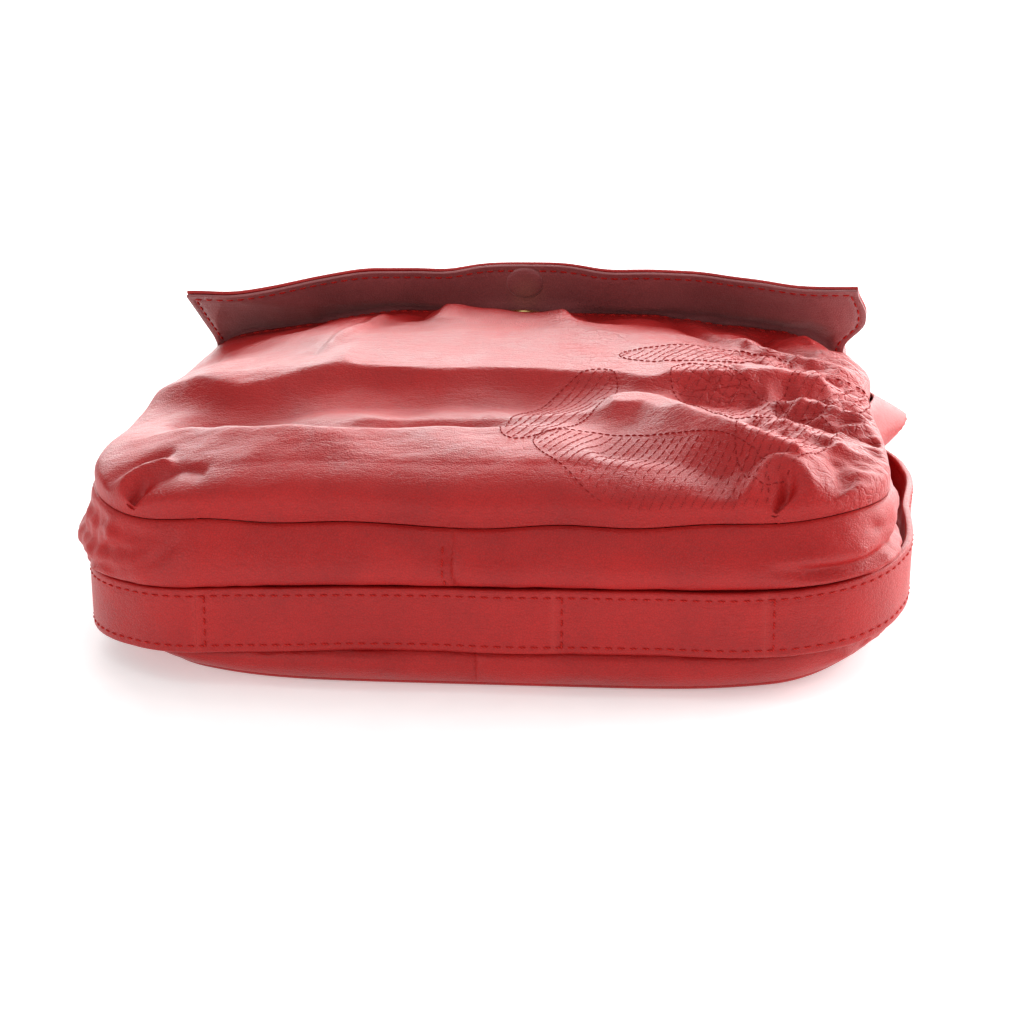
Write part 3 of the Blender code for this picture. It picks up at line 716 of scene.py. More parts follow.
def surface_stitches(name, lines, material, pitch, length, radius):
    """Running stitches over the front panel along lines drawn in mm."""
    starts, ends = [], []
    for line in lines:
        path = np.asarray(line, float) * MM
        if len(path) > 2:
            path = smooth_points(path, 8)
        wanted = middles(lengths_of(path)[-1], pitch * MM)
        for offset, points in ((-0.25, starts), (0.25, ends)):
            points.append(np.stack(at_lengths(path, wanted + offset * length * MM), axis=1))
    start, start_normal = surface_frames(np.vstack(starts))
    end, end_normal = surface_frames(np.vstack(ends))
    up = start_normal + end_normal
    piece = stitch_mesh(name, (start + end) / 2, end - start, up, material, length * MM, radius * MM)
    finish_piece(piece, "bag")


def leaf(cx, cy, length, width, angle):
    """Outline of a long oval, in mm."""
    points = []
    for step in range(33):
        t = 2 * math.pi * step / 32
        px, py = rotated(math.cos(t) * length / 2, math.sin(t) * width / 2, math.radians(angle))
        points.append((cx + px, cy + py))
    return points


def hatch(cx, cy, length, width, angle, hatch_angle, gap):
    """Straight lines that fill a long oval well inside the panel, in mm."""
    lines = []
    half = max(length, width) / 2
    for offset in np.arange(-half, half, gap):
        inside = []
        for step in np.linspace(-half, half, 160):
            px, py = rotated(step, offset, math.radians(hatch_angle))
            along, across = rotated(px, py, -math.radians(angle))
            share = min(abs(along) / (length / 2), 1.0)
            room = (1 - share ** 2) ** 0.5 * width / 2 - 1.6
            if abs(across) < room and inside_line((cx + px, cy + py)):
                inside.append((cx + px, cy + py))
        if len(inside) > 6:
            lines.append((inside[0], inside[-1]))
    return lines


LEAVES = (
    # centre x, y, length, width, direction, hatch direction
    (56, -86, 88, 42, 158, 62),
    (104, -66, 66, 32, 72, 62),
    (22, -38, 74, 26, 64, 62),
    (84, -24, 62, 30, 128, 62),
    (74, 20, 66, 24, 12, 62),
    (116, -10, 62, 24, 70, 62),
)


def make_motif():
    outlines, fills = [], []
    for cx, cy, length, width, angle, lean in LEAVES:
        outlines.append(leaf(cx, cy, length, width, angle))
        fills += hatch(cx, cy, length, width, angle, lean, 3.2)
    outlines = [run for line in outlines for run in inside_runs(line)]
    surface_stitches("leaf_outlines", outlines, DARK_THREAD, 2.4, 2.1, 0.28)
    surface_stitches("leaf_filling", fills, FINE_THREAD, 3.0, 3.2, 0.21)
    mouth = [((-116, 97.3), (-12, 97.3)), ((12, 97.3), (116, 97.3))]
    surface_stitches("front_mouth_stitches", mouth, RED_THREAD, 4.2, 3.0, 0.40)


def inside_runs(line):
    """The unbroken stretches of a line that lie well inside the panel."""
    runs = [[]]
    for point in line:
        if inside_line(point):
            runs[-1].append(point)
        elif runs[-1]:
            runs.append([])
    return [run for run in runs if len(run) > 3]


def inside_line(point):
    x, y = point[0] * MM, point[1] * MM
    return bool(inside_distance(np.array(x), np.array(y)) > 2.5 * MM and y < MOUTH_Y - 8 * MM)


# ---- back panel ----
def back_points(x, y, height):
    """The back's grid with its bottom corners drawn in and lifted off the table."""
    distance = inside_distance(x, y)
    s = seam_length(x, y)
    _, _, nx, ny = outline_at(s)
    pull = corner_pull(s) * (1 - smooth(0, 40 * MM, distance))
    lift = CORNER_LIFT * pull * (1 - smooth(0, 26 * MM, distance))
    return np.stack([x - nx * pull, y - ny * pull, height + lift], axis=-1)


def make_back_panel():
    x, y = panel_grid(121, 91, top=BACK_HIGH.y)
    distance = inside_distance(x, y)
    edge = 1 - np.sqrt(np.clip(1 - (1 - np.minimum(distance / (5 * MM), 1)) ** 2, 0, 1))
    points = back_points(x, y, LEATHER + 1.6 * MM * edge)
    panel = shell("back_panel_skin", points, LEATHER, RED)
    finish_piece(panel, "bag", ["back_panel"])
    shares = np.linspace(-0.96, 0.96, 62)
    row = [(share * MOUTH_HALF, BACK_HIGH.y - STITCH_INSET, LEATHER + 0.1 * MM) for share in shares]
    sew("back_mouth_stitches", [(row, [(1, 0, 0)] * len(row), [(0, 0, 1)] * len(row))])


# ---- gussets ----
GUSSET_FOLDS = (
    # seam length and height in mm, reach on the left of the line, depth, reach on the right
    (((92, 51), (120, 49), (150, 52), (176, 55)), 2.6, -5.0, 3.4),
    (((100, 44), (126, 45), (150, 47), (170, 49)), 2.4, 1.6, 2.0),
    (((-112, 52), (-130, 47), (-150, 45), (-172, 47)), 2.4, -2.6, 3.2),
    (((-118, 44), (-138, 39), (-158, 37), (-176, 40)), 2.0, -2.4, 2.4),
    (((-104, 56), (-112, 48), (-118, 42)), 2.0, -1.4, 2.6),
)


def gusset_point(s, level):
    """A point of the gusset's outer face at a seam length and a height share."""
    x, y, nx, ny = outline_at(s)
    low = LEATHER + 0.4 * MM + CORNER_LIFT * corner_pull(s)
    high = seam_height(x, y) - 0.3 * MM
    z = low + (high - low) * level
    band = band_height(s)
    upper_start = band + STRAP_WIDTH / 2 - 1.5 * MM
    lower_end = band - STRAP_WIDTH / 2 + 1.5 * MM
    upper = np.clip((z - upper_start) / np.maximum(high - upper_start, 1 * MM), 0, 1)
    lower = np.clip((lower_end - z) / np.maximum(lower_end - low, 1 * MM), 0, 1)
    calm = 1 - 0.35 * smooth(0.55, 0.95, np.abs(s) / HALF_LENGTH)
    out = 4.4 * MM * np.sin(np.clip(level, 0, 1) * math.pi)
    out += 7.4 * MM * np.sin(np.clip(upper, 0, 1) ** 0.85 * math.pi) ** 0.85 * calm
    out += 6.0 * MM * np.sin(np.clip(lower, 0, 1) ** 0.9 * math.pi) ** 0.7
    wrinkle = smooth(0.105, 0.14, np.abs(s)) * (1 - smooth(0.20, 0.27, np.abs(s)))
    creases = 0.9 * MM * waves(s, z * 1.6, 0.024, 21) + 0.35 * MM * waves(s, z * 1.6, 0.010, 22)
    out += wrinkle * creases * edge_fade(level)
    for points, left, rise, right in GUSSET_FOLDS:
        out += stroke(s, z, points, left, rise, right, 0.3)
    out += 0.5 * MM * waves(s, z * 0.6, 0.045, 23) * edge_fade(level)
    fold = hump(np.abs(s) - HALF_LENGTH + 0.045, 0.024)
    fold_size = np.where(s > 0, 11.0, 5.0) * MM
    out += fold * fold_size * hump(level - 0.80, 0.15)
    out += seam_shift(s) * smooth(0.15, 0.95, level)
    out -= corner_pull(s) * (1 - smooth(0.0, 0.50, level))
    upper_part = smooth(0.4, 0.8, level) * edge_fade(level)
    out -= 5.0 * MM * hump(s + 0.165, 0.055) * upper_part
    out -= 7.0 * MM * hump(s - 0.200, 0.060) * upper_part
    centre = hump(s - centre_seam(level), 2.2 * MM)
    out -= 1.0 * MM * centre * edge_fade(level)
    under_band = BAND_OFFSET - STRAP_THICKNESS / 2 - band_tuck(s) - 0.6 * MM
    clear = np.maximum(np.abs(z - band) - STRAP_WIDTH / 2 - 0.4 * MM, 0)
    out = np.minimum(out, under_band + 2.2 * np.sqrt(clear * 3 * MM + 1e-12) + clear)
    return np.stack([x + nx * out, y + ny * out, z], axis=-1)


def band_tuck(s):
    """How far the base band lies inside its CAD place, where the soft gusset swells round it."""
    return 2.4 * MM + 4.5 * MM * hump(s + 0.165, 0.05)


def edge_fade(level):
    return smooth(0.0, 0.12, level) * smooth(0.0, 0.12, 1 - level)


def centre_seam(level):
    """Where the two gusset halves meet: a little left of the middle above the band."""
    return -3 * MM - 8 * MM * smooth(0.3, 0.8, level)


def band_height(s):
    """Height of the base band's middle line: low at the left corner, high at the right."""
    from_end = np.maximum(HALF_LENGTH - np.abs(s), 0)
    calm = smooth(0.0, 0.06, from_end)
    left = hump(s + 0.180, 0.085)
    right = hump(s - 0.190, 0.075)
    return BAND_Z + calm * (-8.0 * MM * left + 7.0 * MM * right) + 0.5 * MM * calm


def make_gussets():
    ends = np.linspace(0, 0.16, 9)[:-1], np.linspace(0.84, 1, 9)
    levels = np.concatenate([ends[0], np.linspace(0.16, 0.84, 34)[:-1], ends[1]])
    for side in ("left", "right"):
        rows = []
        for level in levels:
            seam = centre_seam(level)
            ends = (-HALF_LENGTH, seam) if side == "left" else (seam, HALF_LENGTH)
            rows.append(gusset_point(np.linspace(*ends, 230), level))
        piece = shell("gusset_" + side + "_skin", np.array(rows), LEATHER, RED)
        finish_piece(piece, "bag", ["gusset_" + side])
    levels = np.arange(0.64, 0.97, 0.066)
    s = centre_seam(levels) - 3.2 * MM
    points = gusset_point(s, levels)
    ahead = gusset_point(s, levels + 0.02)
    sew("gusset_stitches", [(points, ahead - points, [(0, -1, 0)] * len(s))])


LINING_INSET = 6 * MM
LINING_GAP = 3.2 * MM
LINING_CLOTH = 0.6 * MM
FACING_Y = MOUTH_Y - 25 * MM


def make_linings():
    """Cloth inside the panels and gussets, and a leather facing round the mouth."""
    cloth = (BOTTOM_Y + LINING_INSET, FACING_Y + 2 * MM, LINING, "lining_cloth")
    facing = (FACING_Y, MOUTH_Y - 1 * MM, UNDERSIDE, "underside_leather")
    for name, node, (bottom, top, material, slot) in (
        ("front_lining_cloth", "lining_front", cloth), ("front_facing_leather", "front_facing", facing),
    ):
        x, y = panel_grid(121, 81, LINING_INSET, top, bottom)
        drop = 3.1 * MM if material is LINING else 2.5 * MM
        corner = np.exp(-((np.abs(x) - 0.112) ** 2 + (y + 0.092) ** 2) / 0.026 ** 2)
        z = plain_height(x, y) - drop - LINING_GAP - 7 * MM * corner
        z = np.minimum(z, front_height(x, y) - drop) if material is UNDERSIDE else z
        piece = shell(name, np.stack([x, y, z], axis=-1), LINING_CLOTH, material)
        finish_piece(piece, "bag", [node])
    facing = (FACING_Y, MOUTH_Y, UNDERSIDE, "underside_leather")
    for name, node, (bottom, top, material, slot) in (
        ("back_lining_cloth", "lining_back", cloth), ("back_facing_leather", "back_facing", facing),
    ):
        x, y = panel_grid(61, 41, LINING_INSET, top, bottom)
        rise = 1.0 * MM if material is LINING else 1.6 * MM
        z = LEATHER + rise + 0.35 * MM * (waves(x, y, 0.05, 31) + 1)
        piece = shell(name, back_points(x, y, z), LINING_CLOTH, material)
        finish_piece(piece, "bag", [node])
    for side, sign in (("left", -1), ("right", 1)):
        rows = []
        for level in np.linspace(0.05, 0.95, 20):
            s = np.linspace(4 * MM, HALF_LENGTH, 120) * sign
            points = gusset_point(s, level)
            _, _, nx, ny = outline_at(s)
            points[:, 0] -= nx * LINING_GAP
            points[:, 1] -= ny * LINING_GAP
            rows.append(points if sign > 0 else points[::-1])
        piece = shell("gusset_lining_" + side, np.array(rows), LINING_CLOTH, LINING)
        finish_piece(piece, "bag", ["lining_gusset_" + side])


# ---- base band ----
def band_points(s):
    """Middle line of the base band, bending clear of the gusset at the right side."""
    x, y, nx, ny = outline_at(s)
    sideways = 1.4 * MM * waves(s, 0, 0.11, 41, 5) * smooth(0.0, 0.05, HALF_LENGTH - np.abs(s))
    free = hump(s - 0.236, 0.038)
    out = BAND_OFFSET - band_tuck(s) + np.maximum(sideways, -0.2 * MM) + 10.0 * MM * free
    return np.stack([x + nx * out, y + ny * out], axis=-1)


def band_path():
    """Seam lengths and points from the left tab round the bottom to the right tab."""
    reach = HALF_LENGTH + TAB_LOW_Y - 0.02 * MM - MOUTH_Y
    s = np.linspace(-reach, reach, 700)
    points = band_points(s)
    near_end = smooth(HALF_LENGTH - 0.035, HALF_LENGTH - 0.005, np.abs(s))
    target = RING_CENTRE.x * np.sign(s)
    points[:, 0] += (target - points[:, 0]) * near_end
    return s, points


def make_base_band():
    s, path = band_path()
    heights = band_height(s)
    along_bottom = np.abs(s) < HALF_LENGTH * 0.6
    nearest = [np.argmin(np.where(along_bottom, np.abs(path[:, 0] - x), 1.0)) for x in BAND_JOINS]
    cuts = [s[0], *s[nearest], s[-1]]
    names = ("band_left", "band_bottom_left", "band_bottom_right", "band_right")
    tilt = 0.05 * waves(s, 0, 0.16, 43, 5)
    rows = []
    for name, first, last in zip(names, cuts, cuts[1:]):
        wanted = np.linspace(first, last, max(int((last - first) / (2.2 * MM)), 4))
        points = np.stack(at_lengths(path, wanted, s), axis=1)
        z = np.interp(wanted, s, heights)
        lean = np.interp(wanted, s, tilt)
        piece = tube(name + "_strap", strip_sections(points, z, STRAP_THICKNESS, lean), RED)
        finish_piece(piece, "bag", [name])
        rows += rows_on_strap(points, z, lean)
        if first > s[0]:
            rows.append(cross_row(points, z))
    sew("band_stitches", rows)


def rows_on_strap(points, z, lean, both=False):
    """Stitch places along both edges of a strap on edge, on its outer face or on both faces."""
    lengths = lengths_of(points)
    wanted = middles(lengths[-1], STITCH_PITCH)
    tangent, normal = strap_frame(points)
    px, py, tx, ty, nx, ny = at_lengths(np.hstack([points, tangent, normal]), wanted, lengths)
    height = np.interp(wanted, lengths, z)
    slope = np.interp(wanted, lengths, np.gradient(z, lengths))
    angle = np.interp(wanted, lengths, np.broadcast_to(lean, lengths.shape))
    rows = []
    for face in ((1, -1) if both else (1,)):
        for edge in (1, -1):
            up = edge * (STRAP_WIDTH / 2 - STITCH_INSET)
            out = face * (STRAP_THICKNESS / 2 - 0.22 * MM)
            across = out * np.cos(angle) + up * np.sin(angle)
            rise = up * np.cos(angle) - out * np.sin(angle)
            places = np.stack([px + nx * across, py + ny * across, height + rise], axis=1)
            along = np.stack([tx, ty, slope], axis=1)
            rows.append((places, along, np.stack([nx * face, ny * face, -np.sin(angle) * face], axis=1)))
    return rows


def cross_row(points, z):
    """A short row of stitches across a strap, 3 mm after its start."""
    lengths = lengths_of(points)
    at = min(3 * MM, lengths[-1] / 2)
    px, py, nx, ny = at_lengths(np.hstack([points, strap_frame(points)[1]]), at, lengths)
    height = np.interp(at, lengths, z)
    ups = np.linspace(-1, 1, 5) * (STRAP_WIDTH / 2 - STITCH_INSET - 1 * MM)
    out = STRAP_THICKNESS / 2
    places = np.stack([np.full(5, px + nx * out), np.full(5, py + ny * out), height + ups], axis=1)
    return places, np.tile((0.0, 0.0, 1.0), (5, 1)), np.tile((nx, ny, 0.0), (5, 1))


# ---- tabs, strap ends and rings ----
def eye_path(near, far, tail):
    """Middle line of a leather strip folded round a ring's wire, in its own plane."""
    ply = STRAP_THICKNESS / 4
    half = RING_WIRE / 2 + 0.3 * MM + ply
    angles = np.linspace(-math.pi / 2, math.pi / 2, 25)
    fold = np.stack([half * np.sin(angles), near - half * np.cos(angles)], axis=1)
    leg = [(ply, tail), (ply, far + 5.6 * MM), (ply * 1.3, far + 4 * MM), (half * 0.93, far)]
    return np.vstack([[(-x, y) for x, y in leg], fold, leg[::-1]])


def make_tabs_and_rings():
    near = math.sqrt((RING_RADIUS - RING_WIRE / 2) ** 2 - (STRAP_WIDTH / 2) ** 2) + RING_WIRE / 2
    far = (RING_HIGH.z - RING_LOW.z) / 2 - RING_WIRE / 2
    tail_down = RING_CENTRE.y - TAB_LOW_Y
    for side, sign in (("left", -1), ("right", 1)):
        for node, direction, body in (("tab_", -1, "bag"), ("strap_end_", 1, "strap")):
            tail = tail_down if direction < 0 else END_HIGH_Y - RING_CENTRE.y
            path = resampled(smooth_points(eye_path(near, far, tail), 5), 0.8 * MM)
            x = sign * RING_CENTRE.x
            place = np.stack([x + path[:, 0], RING_CENTRE.y + direction * path[:, 1]], axis=1)
            heights = [RING_CENTRE.z] * len(place)
            sections = strip_sections(place, heights, STRAP_THICKNESS / 2, edge=0.3 * MM)
            piece = tube(node + side + "_leather", sections, RED)
            finish_piece(piece, body, [node + side])
            centres, up = [], []
            for face in (1, -1):
                for z in np.linspace(-1, 1, 5) * (STRAP_WIDTH / 2 - STITCH_INSET - 1 * MM):
                    y = RING_CENTRE.y + direction * (far + 6.2 * MM)
                    centres.append((x + face * (STRAP_THICKNESS / 2 - 0.1 * MM), y, RING_CENTRE.z + z))
                    up.append((face, 0, 0))
            sew(node + side + "_stitches", [(centres, [(0, 0, 1)] * len(up), up)], body)
        bpy.ops.mesh.primitive_torus_add(
            location=(sign * RING_CENTRE.x, RING_CENTRE.y, RING_CENTRE.z),
            rotation=(0, math.pi / 2, 0),
            major_segments=96,
            minor_segments=24,
            major_radius=RING_RADIUS,
            minor_radius=RING_WIRE / 2,
        )
        ring = bpy.context.object
        ring.name = "ring_" + side + "_brass"
        ring.data.transform(ring.matrix_world)
        ring.matrix_world = Matrix.Identity(4)
        ring.data.shade_smooth()
        ring.data.materials.append(BRASS)
        finish_piece(ring, "ring_" + side, ["ring_" + side])


# ---- shoulder strap ----
STRAP_ROUTE = (
    # x as a share of the rings' distance from the middle, y from the rings' line in mm
    (-1.0, 34), (-1.0, 60), (-0.97, 82), (-0.80, 98), (-0.55, 99), (-0.20, 91), (0.15, 86),
    (0.52, 89), (0.76, 100), (0.82, 118), (0.71, 133), (0.38, 137), (0.0, 133), (-0.38, 134),
    (-0.72, 141), (-0.88, 154), (-0.87, 172), (-0.70, 184), (-0.35, 185), (0.0, 179),
    (0.35, 178), (0.65, 180), (0.86, 172), (0.97, 152), (1.0, 120), (1.0, 85), (1.0, 55), (1.0, 34),
)


def make_shoulder_strap():
    points = np.array([(x * RING_CENTRE.x, RING_CENTRE.y + y * MM) for x, y in STRAP_ROUTE])
    points[0, 1] = points[-1, 1] = END_HIGH_Y
    path = resampled(smooth_points(points, 14), 2.4 * MM)
    lengths = lengths_of(path)
    total = lengths[-1]
    from_end = np.minimum(lengths, total - lengths)
    down = smooth(0, 70 * MM, from_end)
    z = RING_CENTRE.z + (STRAP_WIDTH / 2 - RING_CENTRE.z) * down
    lean = 0.09 * waves(lengths, 0, 0.21, 51, 5) * smooth(0, 0.05, from_end)
    lift = STRAP_WIDTH / 2 * (np.cos(lean) - 1) + np.abs(np.sin(lean)) * STRAP_THICKNESS / 2
    cuts = (0.0, 0.36, 0.66, 1.0)
    rows = []
    for name, first, last in zip(("strap_left", "strap_middle", "strap_right"), cuts, cuts[1:]):
        start, end = first * total, last * total
        wanted = np.linspace(start, end, int((end - start) / (2.4 * MM)))
        part = np.stack(at_lengths(path, wanted, lengths), axis=1)
        heights = np.interp(wanted, lengths, z + lift)
        leans = np.interp(wanted, lengths, lean)
        piece = tube(name + "_leather", strip_sections(part, heights, STRAP_THICKNESS, leans), RED)
        finish_piece(piece, "strap", [name])
        rows += rows_on_strap(part, heights, leans, both=True)
        if first > 0:
            rows.append(cross_row(part, heights))
    sew("strap_stitches", rows, "strap")


# ---- flap ----
FLAP_BASE_HALF = 114 * MM
FLAP_EDGE_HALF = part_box("flap_front_outer")[1].x
FLAP_LENGTH = (FOLD_Z - HINGE_Z) + 17 * MM
FLAP_SPLIT = 45 * MM
FRONT_LEAN = 20  # degrees that the flap's front leans forwards beyond its fold line


def flap_lean(x, height):
    """How far the flap's face has turned forwards at a height over its hinge."""
    left = 1 - smooth(-0.125, -0.03, x)
    right = smooth(0.05, 0.13, x)
    start = 62 * MM - 17 * MM * left - 14 * MM * right
    most = 0.52 + 0.26 * left + 0.05 * right
    soft = most * smooth(0, 1, np.clip((height - start) / (26 * MM), 0, 1))
    flat = np.exp(-(x / (24 * MM)) ** 4)
    fold = FOLD_Z - HINGE_Z
    folded = smooth(fold - 2.5 * MM, fold + 2.5 * MM, height)
    return soft * (1 - flat) + math.radians(FRONT_LEAN) * folded * flat


def flap_half(share, height):
    """Half width of the flap on the side where share lies: the left side tapers, the right one barely."""
    left = FLAP_BASE_HALF + (FLAP_EDGE_HALF - 2 * MM - FLAP_BASE_HALF) * height / FLAP_LENGTH
    right = FLAP_BASE_HALF + 15.2 * MM * smooth(0, 46 * MM, height)
    right = right + 8.3 * MM * smooth(62 * MM, 79 * MM, height)
    right = right - 4 * MM * smooth(82 * MM, FLAP_LENGTH, height)
    return np.where(share < 0, left, right)


def flap_points(columns, heights, depth):
    """Grid of the flap at a distance behind (+) or in front of (-) its middle face."""
    steps = np.linspace(0, FLAP_LENGTH, 200)
    share = np.sin(np.linspace(-1, 1, columns) * math.pi / 2 * 0.96) / math.sin(math.pi / 2 * 0.96)
    base_x = share * (FLAP_BASE_HALF + FLAP_EDGE_HALF) / 2
    lean = flap_lean(base_x[None, :], steps[:, None])
    rise = np.cumsum(np.cos(lean), axis=0) * (steps[1] - steps[0])
    forward = np.cumsum(np.sin(lean), axis=0) * (steps[1] - steps[0])
    lip = front_height(base_x, np.full(columns, MOUTH_Y - 2 * MM))
    over_lip = np.maximum(HINGE_Z + rise - lip[None, :] - 1 * MM, 0)
    forward = np.minimum(forward, 1.3 * over_lip)
    rows = []
    for height in heights:
        k = np.interp(height, steps, np.arange(len(steps)))
        low = int(min(k, len(steps) - 2))
        part = k - low
        z, y, angle = (table[low] * (1 - part) + table[low + 1] * part for table in (rise, forward, lean))
        half = flap_half(share, height)
        x = share * half
        free = smooth(8 * MM, 40 * MM, height)
        ripple = free * (1.5 * MM * waves(x, height, 0.12, 61, 7) + 0.35 * MM * waves(x, height, 0.035, 62))
        near_snap = np.exp(-((x / (16 * MM)) ** 2 + ((height - FLAP_LENGTH + 8 * MM) / (14 * MM)) ** 2))
        out = depth + ripple * (1 - near_snap)
        edge = np.minimum(FLAP_LENGTH - height, half - np.abs(x))
        dip = 0.30 * MM * hump(edge - STITCH_INSET, 0.9 * MM)
        out = out - np.sign(depth) * dip
        py = FLAP_Y - y + out * np.cos(angle)
        pz = HINGE_Z + z + out * np.sin(angle)
        rows.append(np.stack([x, py, pz], axis=-1))
    return np.array(rows)


def flap_bend(piece, upper):
    if upper:
        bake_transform(piece)
    else:
        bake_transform(piece)


def make_flap():
    low = np.concatenate([np.linspace(-0.6 * MM, 6 * MM, 8)[:-1], np.linspace(6 * MM, FLAP_SPLIT, 26)])
    high = np.concatenate([np.linspace(FLAP_SPLIT, FLAP_LENGTH - 7 * MM, 28)[:-1],
                           np.linspace(FLAP_LENGTH - 7 * MM, FLAP_LENGTH, 12)])
    layers = (
        ("flap_outer", 0.75 * MM, 1.3 * MM, RED, "red_leather", "_outer"),
        ("flap_underside", -2.2 * MM, 1.1 * MM, UNDERSIDE, "underside_leather", "_lining"),
    )
    for name, depth, thickness, material, slot, layer in layers:
        for part, heights, node in (("_lower", low, "flap_top"), ("_upper", high, "flap_front")):
            grid = flap_points(181, heights, depth)
            grid = grid if depth < 0 else grid[:, ::-1]
            piece = shell(name + part, grid, thickness, material)
            piece.data.set_sharp_from_angle(angle=math.radians(60))
            flap_bend(piece, part == "_upper")
            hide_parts(node + layer)
    make_flap_stitches()


def make_flap_stitches():
    """Topstitching round the flap's two sides and free edge, on both faces."""
    inset = STITCH_INSET
    for face, depth in (("outer", 0.8 * MM), ("under", -2.25 * MM)):
        heights = np.linspace(0, FLAP_LENGTH, 120)
        grid = flap_points(241, heights, depth)
        left_half = flap_half(-1.0, heights)
        right_half = flap_half(1.0, heights)
        x = grid[..., 0]
        top = int(np.argmin(np.abs(heights - (FLAP_LENGTH - inset))))
        reach = (left_half[top] - inset, right_half[top] - inset)
        cells = [(i, np.argmin(np.abs(x[i] + left_half[i] - inset))) for i in range(4, top)]
        cells += [(top, j) for j in range(x.shape[1]) if -reach[0] < x[top, j] < reach[1]]
        cells += [(i, np.argmin(np.abs(x[i] - right_half[i] + inset))) for i in range(top - 1, 3, -1)]
        face_normals = grid_normals(grid)
        path, normals = (np.array([table[cell] for cell in cells]) for table in (grid, face_normals))
        normals *= np.where(normals[:, 1:2] * depth < 0, -1, 1)
        lengths = lengths_of(path)
        wanted = middles(lengths[-1], STITCH_PITCH)
        centres, ahead, behind, up = (np.stack(at_lengths(line, at, lengths), axis=1) for line, at in (
            (path, wanted), (path, wanted + 1 * MM), (path, wanted - 1 * MM), (normals, wanted),
        ))
        upper = centres[:, 2] > HINGE_Z + FLAP_SPLIT
        for part, chosen in (("_lower", ~upper), ("_upper", upper)):
            rows = [(centres[chosen], (ahead - behind)[chosen], up[chosen])]
            flap_bend(sew("flap_" + face + "_stitches" + part, rows, body=None), part == "_upper")


# ---- snap ----
def turned(name, profile, place, material, segments=64):
    """A solid of revolution from (radius, height) pairs in mm that start and end on the axis."""
    angles = np.linspace(0, 2 * math.pi, segments, endpoint=False)
    vertices = [(0, 0, profile[0][1] * MM)]
    for radius, height in profile[1:-1]:
        for angle in angles:
            vertices.append((radius * MM * math.cos(angle), radius * MM * math.sin(angle), height * MM))
    vertices.append((0, 0, profile[-1][1] * MM))
    faces = []
    last = len(vertices) - 1
    for k in range(segments):
        m = (k + 1) % segments
        faces.append((0, 1 + m, 1 + k))
        for a in range(1, last - segments, segments):
            faces.append((a + k, a + m, a + segments + m, a + segments + k))
        faces.append((last, last - segments + k, last - segments + m))
    piece = link(name, [place @ Vector(v) for v in vertices], faces, material)
    piece.data.set_sharp_from_angle(angle=math.radians(50))
    return piece


def in_box(low, high, tilt, up):
    """A place in the middle of a CAD box, its +Z turned from straight up by a tilt about X."""
    middle = (low + high) / 2
    return Matrix.Translation(middle) @ Matrix.Rotation(tilt, 4, "X") @ Matrix.Translation((0, 0, up * MM))


def make_snap():
    """The magnet's brass half on the front panel, and its other half under the flap's leather."""
    size = SNAP_HIGH - SNAP_LOW
    tilt = math.asin(min(max((size.z - 2.2 * MM) / (14 * MM), 0), 1))
    socket = turned("snap_socket_brass", (
        (0, 0), (6.6, 0), (7.0, 0.4), (7.0, 1.2), (6.7, 1.8), (6.0, 2.2), (4.4, 2.2), (3.9, 2.0), (3.7, 1.5),
        (3.6, 1.0), (0, 1.0),
    ), in_box(SNAP_LOW, SNAP_HIGH, -tilt, -1.1), BRASS)
    finish_piece(socket, "bag", ["snap_socket"])
    low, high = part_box("snap_stud")
    cover = turned("snap_stud_cover", (
        (0, -1.4), (7.6, -1.4), (7.5, -1.0), (6.9, -0.5), (5.6, -0.15), (3.0, 0.0), (0, 0.05),
    ), in_box(low, high, math.radians(90 + FRONT_LEAN), 0), UNDERSIDE)
    finish_piece(cover, "flap_front", ["snap_stud"])


# ---- room, light and camera ----
def area_light(name, place, target, size, power):
    light = bpy.data.lights.new(name, "AREA")
    light.shape = "RECTANGLE"
    light.size, light.size_y = size
    light.energy = power
    lamp = bpy.data.objects.new(name, light)
    lamp.location = place
    lamp.rotation_euler = (Vector(target) - Vector(place)).to_track_quat("-Z", "Y").to_euler()
    bpy.context.scene.collection.objects.link(lamp)


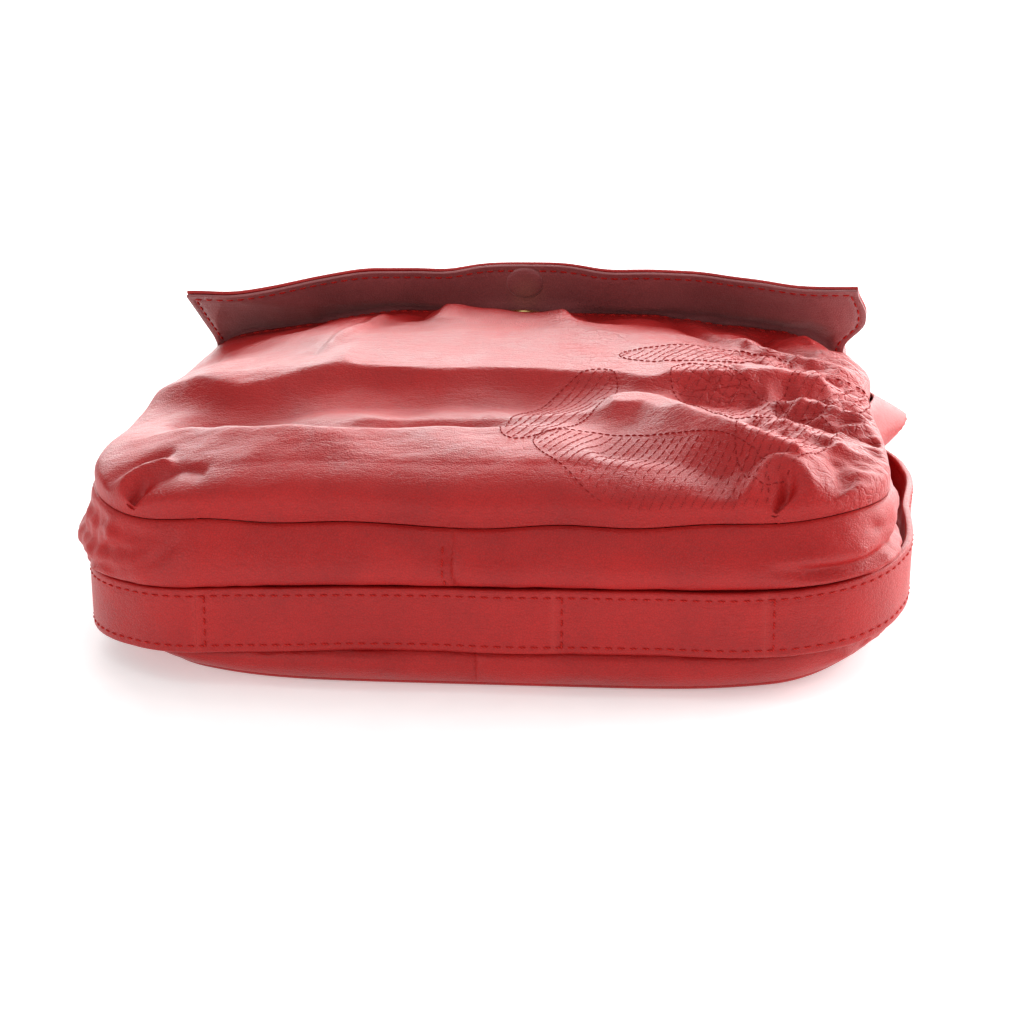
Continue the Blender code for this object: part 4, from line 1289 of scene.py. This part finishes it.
def make_studio():
    scene = bpy.context.scene
    scene.view_settings.view_transform = "Standard"
    world = bpy.data.worlds.new("studio")
    scene.world = world
    world.use_nodes = True
    backdrop = world.node_tree.nodes["Background"]
    set_inputs(world.node_tree, backdrop, {"Color": (1, 1, 1, 1), "Strength": 0.56})
    floor_mesh = bpy.data.meshes.new("floor")
    corners = [(x, y, -0.2 * MM) for x, y in ((-6, -6), (6, -6), (6, 6), (-6, 6))]
    floor_mesh.from_pydata(corners, [], [(0, 1, 2, 3)])
    material, tree, shader = node_material("floor")
    speckle = add_node(tree, "TexNoise", {"Scale": 900.0})["Fac"]
    set_inputs(tree, shader, {
        "Base Color": ramp(tree, speckle, (0.3, 0.90), (0.7, 0.94)),
        "Roughness": 0.9,
        "Specular IOR Level": 0.1,
        "Emission Color": (1, 1, 1, 1),
        "Emission Strength": 0.36,
    })
    floor_mesh.materials.append(material)
    floor = bpy.data.objects.new("floor", floor_mesh)
    scene.collection.objects.link(floor)
    area_light("back_light", (0.5, 2.2, 0.95), (0, 0.0, 0.05), (4.6, 1.7), 150)
    area_light("top_light", (0.2, -0.1, 1.7), (0, 0, 0.03), (1.6, 1.4), 5)
    area_light("side_light", (1.15, 0.32, 0.42), (0.14, 0.0, 0.05), (0.8, 0.7), 12)
    area_light("front_light", (-1.1, -1.4, 0.7), (0, -0.05, 0.04), (0.9, 0.7), 6)


def make_camera():
    azimuth, elevation, distance = math.radians(4), math.radians(20), 1.2
    target = Vector((0.0018, 0, 0.0270))
    flat = math.cos(elevation)
    away = Vector((math.sin(azimuth) * flat, -math.cos(azimuth) * flat, math.sin(elevation)))
    camera_data = bpy.data.cameras.new("camera")
    camera_data.lens = 110.5
    camera_data.sensor_width = 36
    camera = bpy.data.objects.new("camera", camera_data)
    camera.location = target + away * distance
    camera.rotation_euler = (-away).to_track_quat("-Z", "Y").to_euler()
    bpy.context.scene.collection.objects.link(camera)
    bpy.context.scene.camera = camera


make_camera()
make_studio()
make_back_panel()
make_front_panel()
make_motif()
make_gussets()
make_linings()
make_base_band()
make_tabs_and_rings()
make_shoulder_strap()
make_flap()
make_snap()
